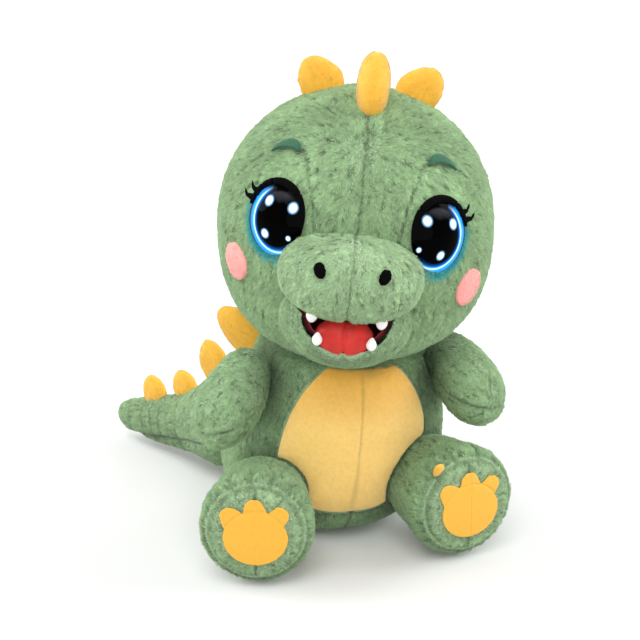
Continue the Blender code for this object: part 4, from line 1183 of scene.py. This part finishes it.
for side, sign in SIDES:
    place = on_head(sign * EYE_AT[0], EYE_AT[1])

    def eye_edge(t, sign=sign):
        return leaning(EYE_HALF[0] * math.cos(t), EYE_HALF[1] * math.sin(t), sign * EYE_LEAN)

    def sunk(u, v, h, place=place):
        return place(u, v, h - EYE_SINK)

    rings = 24
    around = 72
    eye = dome("eye_gloss_" + side, sunk, eye_edge, rings, around, -0.0005,
               lambda s: EYE_RIM + EYE_DOME * (1.0 - s * s))
    marks = [(0.0, 0.0)]
    for s in [k / rings for k in range(1, rings + 1)] + [1.0, 0.5]:
        marks += [(s * sign * math.cos(2.0 * math.pi * i / around), s * math.sin(2.0 * math.pi * i / around))
                  for i in range(around)]
    marks.append((0.0, 0.0))
    mark = eye.data.attributes.new("print", "FLOAT_VECTOR", "POINT")
    mark.data.foreach_set("vector", np.array([(u, v, 0.0) for u, v in marks], np.float32).ravel())
    materials["eye_" + side] = eye_material("eye_" + side, PAINTED_HIGHLIGHTS[side])
    eye.data.materials.append(materials["eye_" + side])
    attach(eye, "head")
    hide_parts("eye_" + side)

    def by_eye(u, v, h, sign=sign, place=place):
        """A point in shares of the eye's half sizes, outwards and up."""
        return place(*leaning(sign * u * EYE_HALF[0], v * EYE_HALF[1], sign * EYE_LEAN), h)

    steps = 40
    lid_points = []
    lid_radii = []
    for i in range(steps + 1):
        f = i / steps
        t = math.radians(LID_FROM + (LID_TO - LID_FROM) * f)
        lid_points.append(by_eye(LID_OUT * math.cos(t), LID_OUT * math.sin(t), LID_LIFT))
        swell = 0.18 + 0.82 * math.sin(math.pi * (0.06 + 0.94 * f)) ** 0.7
        lid_radii.append(LID_RADIUS * swell * (1.15 - 0.35 * f))
    lid = horn("eyelid_felt_" + side, lid_points, lid_radii, 14)
    dress(lid, "head", "black_felt", "eyelid_" + side)
    for number, knots in enumerate(LASHES, 1):
        points = [by_eye(u, v, 0.0012 + 0.0022 * i / 11) for i, (u, v) in enumerate(smooth_line(knots, 12))]
        radii = [LASH_RADIUS * (1.0 - i / 11) ** 0.85 + 0.0001 for i in range(12)]
        lash = horn("lash_%s_%d" % (side, number), points, radii)
        dress(lash, "head", "black_felt")

    def brow_edge(t, sign=sign):
        """An arch, longer outwards, with its underside hollow."""
        u = BROW_HALF[0] * math.cos(t)
        low, high = brow_arch(sign * u)
        return leaning(u, high if math.sin(t) > 0.0 else low, sign * BROW_LEAN)

    brow = dome("brow_felt_" + side, on_head(sign * BROW_AT[0], BROW_AT[1]), brow_edge, 6, 64, -0.0030,
                lambda s: BROW_THICK * (1.0 - 0.35 * s ** 4) - 0.0014)
    dress(brow, "head", "dark_green_felt", "brow_" + side)

    cheek = dome("cheek_plush_" + side, on_head(sign * CHEEK_AT[0], CHEEK_AT[1]),
                 lambda t: (CHEEK_HALF[0] * math.cos(t), CHEEK_HALF[1] * math.sin(t)), 8, 48, -0.0030,
                 lambda s: CHEEK_THICK * (1.0 - 0.75 * s ** 3) - 0.0014)
    dress(cheek, "head", "pink_plush", "cheek_" + side, fill=0.5)
    fur(cheek, "head", brushed(DOWN), PINK, length=PILE_VELVET, parting=0.15, seed=50 + int(sign))

    nostril = solid_form("nostril_felt_" + side, "nostril_" + side, voxel=0.0006, inset=0.0, steps=3)
    co = coordinates(nostril.data)
    outwards = unit(co.mean(axis=0)[None] - coordinates(muzzle.data).mean(axis=0))
    set_coordinates(nostril.data, co + NOSTRIL_OUT * outwards)
    dress(nostril, "head", "black_felt", "nostril_" + side)

# Fins and crests: each foot goes into the skin, and creases run up from it
FIN_SINK = 0.0045
FIN_FOOT = 0.0060
FIN_FULLER = 0.0010
FIN_CREASES = ((-0.16, 0.42), (0.02, 0.60), (0.20, 0.40))
fin_bodies = {"crest_middle": "head", "crest_right": "head", "crest_left": "head", "back_fin": "torso",
              "tail_fin_1": "tail", "tail_fin_2": "tail", "tail_fin_3": "tail"}
fins = {}
fin_creases = {}


def fin_crease(middle, up, across, foot, lines):
    """Creases on both faces of a fin, each from (aside, up) to (aside, up) in metres over its foot."""
    def distance(co):
        d = co - middle
        flat = np.stack((d @ across, d @ up + foot), axis=1)
        return least_of((to_segment(flat, np.array(a), np.array(b)) for a, b in lines), len(co))
    return distance


for node, body in fin_bodies.items():
    fin = solid_form(node + "_plush", node, voxel=0.0014, inset=-FIN_FULLER, steps=5)
    co = coordinates(fin.data)
    middle = co.mean(axis=0)
    thin = np.linalg.svd(co - middle, full_matrices=False)[2][2]
    gap = near_nodes([body + "_skin"], FIN_FOOT)(co)
    foot_at = co[gap < 0.003].mean(axis=0)
    up = unit((middle - foot_at)[None])[0]
    up = unit((up - (up @ thin) * thin)[None])[0]
    across = np.cross(thin, up)
    rise = (co - middle) @ up
    foot = -rise.min()
    tall = foot + rise.max()
    wide = np.ptp((co - middle) @ across)
    lines = [((f * wide, 0.05 * tall), (0.6 * f * wide, h * tall)) for f, h in FIN_CREASES]
    fin_creases[node] = [fin_crease(middle, up, across, foot, lines)]
    if node == "crest_middle":
        fin_creases[node] = [in_plane(foot_at, FACE_X)]
    carve(fin, fin_creases[node], depth=0.0010, width=0.0012)
    relief(fin, 0.0002, 0.004, 5)
    sink = FIN_SINK * np.clip(1.0 - gap / FIN_FOOT, 0.0, 1.0)
    set_coordinates(fin.data, coordinates(fin.data) - sink[:, None] * up)
    dress(fin, body, "yellow_plush", node, fill=0.8)
    fins[node] = fin

# Arms
ARM_WAY = {"right": Vector((-0.500, -0.832, -0.240)), "left": Vector((0.090, -0.980, -0.172))}
arms = {}
arm_seams = {}
for side, sign in SIDES:
    node = "arm_skin_" + side
    shell = outer_form("arm_plush_" + side, [node], *SKINS["arm"], detail=5)
    way = ARM_WAY[side].normalized()
    lift = Vector((0.079, 0.316, 0.945))
    arm_seams[side] = [in_plane(joints["shoulder_" + side], lift - way * lift.dot(way))]
    puff(shell, seam_distance(coordinates(shell.data), arm_seams[side]) < 0.002)
    subdivide(shell)
    carve(shell, arm_seams[side], depth=0.0012, width=0.0016)
    relief(shell, *RELIEF, 6 + sign)
    dress(shell, "arm_" + side, "green_plush", node, fill=0.85)
    arms[side] = shell

# Legs, soles and pads
LEG_AZIMUTH = {"right": -17.0, "left": 13.0}
LEG_RISE = 1.0
LEG_LENGTH = 0.043
SOLE_RADIUS = 0.0290
GATHERS = {"right": (-54.0, -28.0, -5.0, 17.0, 39.0, 62.0), "left": (-44.0, -14.0, 16.0, 46.0)}
PAD_HALF = (0.0200, 0.0178)
PAD_DROP = 0.0027
TAB_GROW = 1.25
legs = {}
soles = {}
leg_seams = {}
sole_seams = {}
sole_rings = {}
for side, sign in SIDES:
    node = "leg_skin_" + side
    place = aim(joints["hip_" + side], compass(LEG_AZIMUTH[side], LEG_RISE))
    sole_ring = round_seam(place, SOLE_RADIUS + 0.0006, LEG_LENGTH - 0.001)
    creases = gathers(place, GATHERS[side], 0.66 * LEG_LENGTH, LEG_LENGTH)
    shell = outer_form("leg_plush_" + side, [node, "sole_" + side], *SKINS["leg"])
    local = in_frame(coordinates(shell.data), place)
    on_sole = np.hypot(local[:, 0], local[:, 1]) < SOLE_RADIUS + 0.002
    puff(shell, on_sole & (local[:, 2] > 0.9 * LEG_LENGTH))
    subdivide(shell)
    carve(shell, [creases], depth=0.0022, width=0.0024, dark=0.6)
    carve(shell, [sole_ring], depth=0.0026, width=0.0020)
    relief(shell, *RELIEF, 9 + sign)
    dress(shell, "leg_" + side, "green_plush", node, fill=0.85)
    legs[side] = shell
    leg_seams[side] = [creases]
    sole_rings[side] = sole_ring

    upright = place.to_3x3() @ Vector((1.0, 0.0, 0.0))
    sole_seams[side] = [in_plane(place.translation, upright)]
    sole = solid_form("sole_plush_" + side, "sole_" + side, voxel=0.0018, inset=0.0004, steps=5)
    carve(sole, sole_seams[side], depth=0.0009, width=0.0012)
    carve(sole, [sole_ring], depth=0.0024, width=0.0020)
    relief(sole, 0.00025, 0.004, 12 + sign)
    dress(sole, "leg_" + side, "pale_green_plush", "sole_" + side, fill=0.7)
    soles[side] = sole

    def toe_lines(co, place=place):
        """Stitch lines where the toes meet the pad, and up its middle."""
        p = in_frame(co, place)
        round_pad = np.hypot(p[:, 0] / PAD_HALF[0], (p[:, 1] + PAD_DROP) / PAD_HALF[1])
        arcs = np.where(p[:, 1] > 0.004, np.abs(round_pad - 0.97) * PAD_HALF[1], 1.0)
        return np.minimum(arcs, np.abs(p[:, 0]) + 0.0004)

    pad = solid_form("pad_felt_" + side, "paw_pad_" + side, voxel=0.0006, inset=0.0, steps=4)
    carve(pad, [toe_lines], depth=0.0005, width=0.0006)
    dress(pad, "leg_" + side, "yellow_felt", "paw_pad_" + side)
tab = solid_form("tab_felt_left", "foot_tab_left", voxel=0.0006, inset=0.0, steps=3)
co = coordinates(tab.data)
set_coordinates(tab.data, co.mean(axis=0) + TAB_GROW * (co - co.mean(axis=0)))
dress(tab, "leg_left", "yellow_felt", "foot_tab_left")

# Tail
TAIL_AZIMUTH = 214.5
TAIL_DROP = -12.0
TAIL_ROOT = 0.045
TAIL_ROOM = 0.0075
TAIL_RINGS = (0.040, 0.0495, 0.059, 0.0685, 0.078, 0.093)
tail_place = aim(joints["tail_swing"], compass(TAIL_AZIMUTH, TAIL_DROP))
tail_seams = [across_seam(tail_place, along, 0.35) for along in TAIL_RINGS]
tail_seams.append(in_plane(tail_place @ Vector((0.0, -0.010, 0.0)),
                           tail_place.to_3x3() @ Vector((0.0, 1.0, 0.04))))
tail = outer_form("tail_plush", ["tail_skin"], *SKINS["tail"])
puff(tail, seam_distance(coordinates(tail.data), tail_seams) < 0.0016)
subdivide(tail)
# The root is drawn in, which leaves it room to swing past the torso
from_joint = np.linalg.norm(coordinates(tail.data) - np.array(joints["tail_swing"]), axis=1)
grow(tail, -TAIL_ROOM * np.clip(1.0 - from_joint / TAIL_ROOT, 0.0, 1.0)[:, None])
carve(tail, tail_seams, depth=0.0016, width=0.0017)
relief(tail, *RELIEF, 15)
dress(tail, "tail", "green_plush", "tail_skin", fill=0.85)

# What the skins hold
for body in ("torso", "head", "arm_right", "arm_left", "leg_right", "leg_left", "tail"):
    limb, _, side = body.partition("_")
    node = "_stuffing_".join((limb, side)) if side else limb + "_stuffing"
    core = solid_form(node + "_fibre", node, voxel=0.005, inset=0.0025, steps=4)
    relief(core, 0.0008, 0.008, 20)
    dress(core, body, "stuffing", node, fill=0.7)
bag = solid_form("pellet_bag_cloth", "pellet_bag", voxel=0.003, inset=0.0006, steps=3)
dress(bag, "torso", "bag_cloth", "pellet_bag", fill=0.6)
for node, obj in nodes.items():
    slot = next(s["material_slot"] for s in frame["record"]["subparts"] if s["node"] == node)
    if not obj.hide_render:
        obj.data.materials.clear()
        obj.data.materials.append(materials[slot])

# Pile on the skins
EYE_PANEL = (0.0275, 0.0375)
EYE_PANEL_UP = 3.5
FOLD = 0.024
# What lies on the face thins the pile next to it and paints shade there
face_cover = []
for side, sign in SIDES:
    eye_oval = outside_oval(sign * EYE_AT[0], EYE_AT[1], EYE_HALF, sign * EYE_LEAN)
    cheek_oval = outside_oval(sign * CHEEK_AT[0], CHEEK_AT[1], CHEEK_HALF)
    face_cover.append((eye_oval, 0.0002, 0.0030, 0.9))
    face_cover.append((cheek_oval, -0.0004, 0.0016, 0.95))
    face_cover.append((outside_brow(sign), -0.0002, 0.0014, 0.75))
face_cover.append((near_nodes(["muzzle", "lower_jaw", "mouth_lining"], 0.003), 0.0008, 0.003, 0.6))


def painted_eye_glow(co, colours):
    """Paler pile in the panels round the eyes, and a painted teal glow cast by the crescents on the pile at the
    eyes' outer and lower rims.
    """
    for side, sign in SIDES:
        around = face_spot(co, sign * EYE_AT[0], EYE_AT[1] + EYE_PANEL_UP, EYE_PANEL, sign * EYE_LEAN)[2]
        colours = colours * (1.0 + 0.20 * np.clip((1.05 - around) / 0.10, 0.0, 1.0))[:, None]
        u, v, edge = face_spot(co, sign * EYE_AT[0], EYE_AT[1], EYE_HALF, sign * EYE_LEAN)
        outward = (0.80 * sign * u - 0.60 * v) / np.maximum(edge, 1e-6)
        glow = np.clip((1.46 - edge) / 0.20, 0.0, 1.0) * np.clip(-0.05 + 1.4 * outward, 0.0, 1.0)
        colours = colours + 0.95 * glow[:, None] * (np.array(PAINTED_GLOW_TEAL) - colours)
    return colours


def belly_shade(co, colours):
    """The belly's pile: browner along its seam and under the chin, as painted shade."""
    seam = 0.45 * np.exp(-(seam_distance(co, belly_seam) / 0.0007) ** 2)
    high = np.clip((co[:, 2] - 0.082) / 0.034, 0.0, 1.0)
    share = np.clip(seam + high, 0.0, 1.0)[:, None]
    return colours * (1.0 - share + share * np.array(CHIN_SHADE))


def above(height):
    return lambda co: co[:, 2] > height


fur(head, "head", brushed_from(HEAD_CENTRE + HEAD_TURN @ Vector((0.0, -0.062, 0.066)), 0.3), GREEN,
    seams=head_seams, bare=face_cover, tint=painted_eye_glow, seed=11)
# Painted shade round the nostrils and where the muzzle meets the head
fur(muzzle, "head", brushed_from(HEAD_CENTRE + HEAD_TURN @ Vector((0.0, -0.10, 0.02)), 0.3), PALE,
    length=PILE_FACE, seams=middle_seam, seed=12,
    bare=[(near_nodes(["nostril_right", "nostril_left"], 0.002), 0.0004, 0.002, 0.8),
          (near_nodes(["head_skin"], 0.002), 0.0005, 0.002, 0.8)])
# Painted shade on the jaw's pile next to the mouth lining and the tongue, and where it meets the head
fur(jaw, "head", brushed_from(HEAD_CENTRE, 0.8), GREEN, length=PILE_SHORT,
    bare=[(near_objects([lining, tongue], 0.007), 0.0010, 0.007, 0.60),
          (near_nodes(["head_skin"], 0.002), 0.0005, 0.002, 0.6)], seed=13)
by_limbs = near_objects([*arms.values(), *legs.values()], FOLD)
# Painted shade on the torso's ground in the folds beside the limbs
mark_painted_shade(torso.data, 0.9 * np.clip(1.0 - by_limbs(coordinates(torso.data)) / FOLD, 0.0, 1.0))
# The torso's pile darkens beside the belly and in the folds by the limbs: painted shade
fur(torso, "torso", brushed(DOWN), GREEN, seams=side_seams,
    bare=[(near_objects([belly], 0.0040), 0.0020, 0.0040, 0.40), (by_limbs, -0.001, FOLD, 0.30)],
    keep=above(0.004), seed=14)
for side, sign in SIDES:
    # Painted shade on the arms where they lie by the torso and the head
    fur(arms[side], "arm_" + side, brushed_from(joints["shoulder_" + side]), GREEN, seams=arm_seams[side],
        bare=[(near_objects([torso, head], FOLD), -0.001, FOLD, 0.40)], seed=15 + int(sign))
    low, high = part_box("sole_" + side)
    sole_middle = 0.5 * (low + high)
    # Painted shade on the legs by the sole, the tab, the ring seam and the gathers
    fur(legs[side], "leg_" + side, brushed_from(sole_middle), GREEN, seams=leg_seams[side],
        bare=[(near_nodes(["sole_" + side], 0.003), 0.0012, 0.003, 0.6),
              (near_objects([tab], 0.004), 0.0020, 0.004, 0.7),
              (sole_rings[side], 0.0005, 0.0028, 0.3), (leg_seams[side][0], 0.0001, 0.0026, 0.6)],
        keep=above(0.004), seed=18 + int(sign))
    # Painted shade round the pad and along the sole's ring seam
    fur(soles[side], "leg_" + side, brushed_from(sole_middle), PALE, length=PILE_FACE,
        seams=sole_seams[side], seed=21 + int(sign),
        bare=[(near_nodes(["paw_pad_" + side], 0.003), 0.0006, 0.003, 0.6),
              (sole_rings[side], 0.0016, 0.0040, 0.4)])
# Painted shade in the tail's ring seams and beside the right arm
fur(tail, "tail", brushed_from(joints["tail_swing"]), GREEN, seams=tail_seams, keep=above(0.005),
    length=PILE_SHORT, line=(0.75, 0.0015), seed=24,
    bare=[(near_objects([arms["right"]], FOLD), -0.001, FOLD, 0.60)])
fur(belly, "torso", brushed_from((0.0, -0.07, 0.135), 0.4), GOLD, length=PILE_VELVET, strand=0.00010,
    density=2.2e6, lay=(50.0, 84.0), parting=0.12, tint=belly_shade, seed=25)
for number, (node, obj) in enumerate(fins.items()):
    low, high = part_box(node)
    # Painted shade along the fins' creases
    fur(obj, fin_bodies[node], brushed_from(0.5 * (low + high)), YELLOW, length=PILE_VELVET,
        strand=0.00012, density=5.0e6, lay=(40.0, 80.0), seams=fin_creases[node], parting=0.15,
        seed=30 + number)


# Stage: pale floor, soft light and the camera
LIGHT_FRONT = 0.46
LIGHT_BEHIND = 1.90
LAMPS = {
    "key": (1.90, -25.0, 62.0, 40.0),
    "fill": (0.95, -8.0, 14.0, 50.0),
    "rim_right": (2.40, -122.0, 30.0, 45.0),
    "rim_left": (2.40, 94.0, 30.0, 45.0),
}
CAMERA_AZIMUTH = -14.0
CAMERA_ELEVATION = 19.0
back = compass(CAMERA_AZIMUTH, CAMERA_ELEVATION)
world = bpy.data.worlds.new("studio")
scene.world = world
world.use_nodes = True
tree = world.node_tree
light = tree.nodes["Background"]
light.inputs["Color"].default_value = (1.0, 1.0, 1.0, 1.0)
path = tree.nodes.new("ShaderNodeLightPath")
seen = maths(tree, "MAXIMUM", maths(tree, "MAXIMUM", path.outputs["Is Camera Ray"],
                                    path.outputs["Is Glossy Ray"]), path.outputs["Is Transmission Ray"])
place = tree.nodes.new("ShaderNodeTexCoord")
away = add_node(tree, "ShaderNodeVectorMath", operation="DOT_PRODUCT")
away.inputs[1].default_value = -back
tree.links.new(place.outputs["Generated"], away.inputs[0])
tent = add_node(tree, "ShaderNodeMapRange", interpolation_type="SMOOTHSTEP")
for key, value in (("From Min", -0.1), ("From Max", 0.9), ("To Min", LIGHT_FRONT), ("To Max", LIGHT_BEHIND)):
    tent.inputs[key].default_value = value
tree.links.new(away.outputs["Value"], tent.inputs["Value"])
dim = maths(tree, "MULTIPLY", maths(tree, "SUBTRACT", 1.0, seen), tent.outputs["Result"])
tree.links.new(maths(tree, "ADD", seen, dim), light.inputs["Strength"])

bpy.ops.mesh.primitive_plane_add(size=12.0, location=(0.0, 0.0, -0.0003))
floor = bpy.context.object
floor.name = "floor"
floor_mat, tree, shader = new_material("floor")
settle(shader, Base_Color=(0.62, 0.62, 0.62, 1.0), Roughness=0.8, Specular_IOR_Level=0.1)
floor.data.materials.append(floor_mat)

for name, (energy, azimuth, elevation, angle) in LAMPS.items():
    lamp_data = bpy.data.lights.new(name, "SUN")
    lamp_data.energy = energy
    lamp_data.angle = math.radians(angle)
    lamp = bpy.data.objects.new(name, lamp_data)
    lamp.rotation_euler = compass(azimuth, elevation).to_track_quat("Z", "Y").to_euler()
    scene.collection.objects.link(lamp)

CAMERA_DISTANCE = 1.4
CAMERA_TARGET = Vector((-0.004, 0.0, 0.128))
CAMERA_LENS = 122.85
camera_data = bpy.data.cameras.new("camera")
camera_data.lens = CAMERA_LENS
camera_data.sensor_width = 36.0
camera = bpy.data.objects.new("camera", camera_data)
camera.location = CAMERA_TARGET + back * CAMERA_DISTANCE
camera.rotation_euler = (-back).to_track_quat("-Z", "Y").to_euler()
scene.collection.objects.link(camera)
scene.camera = camera
scene.view_settings.view_transform = "Standard"
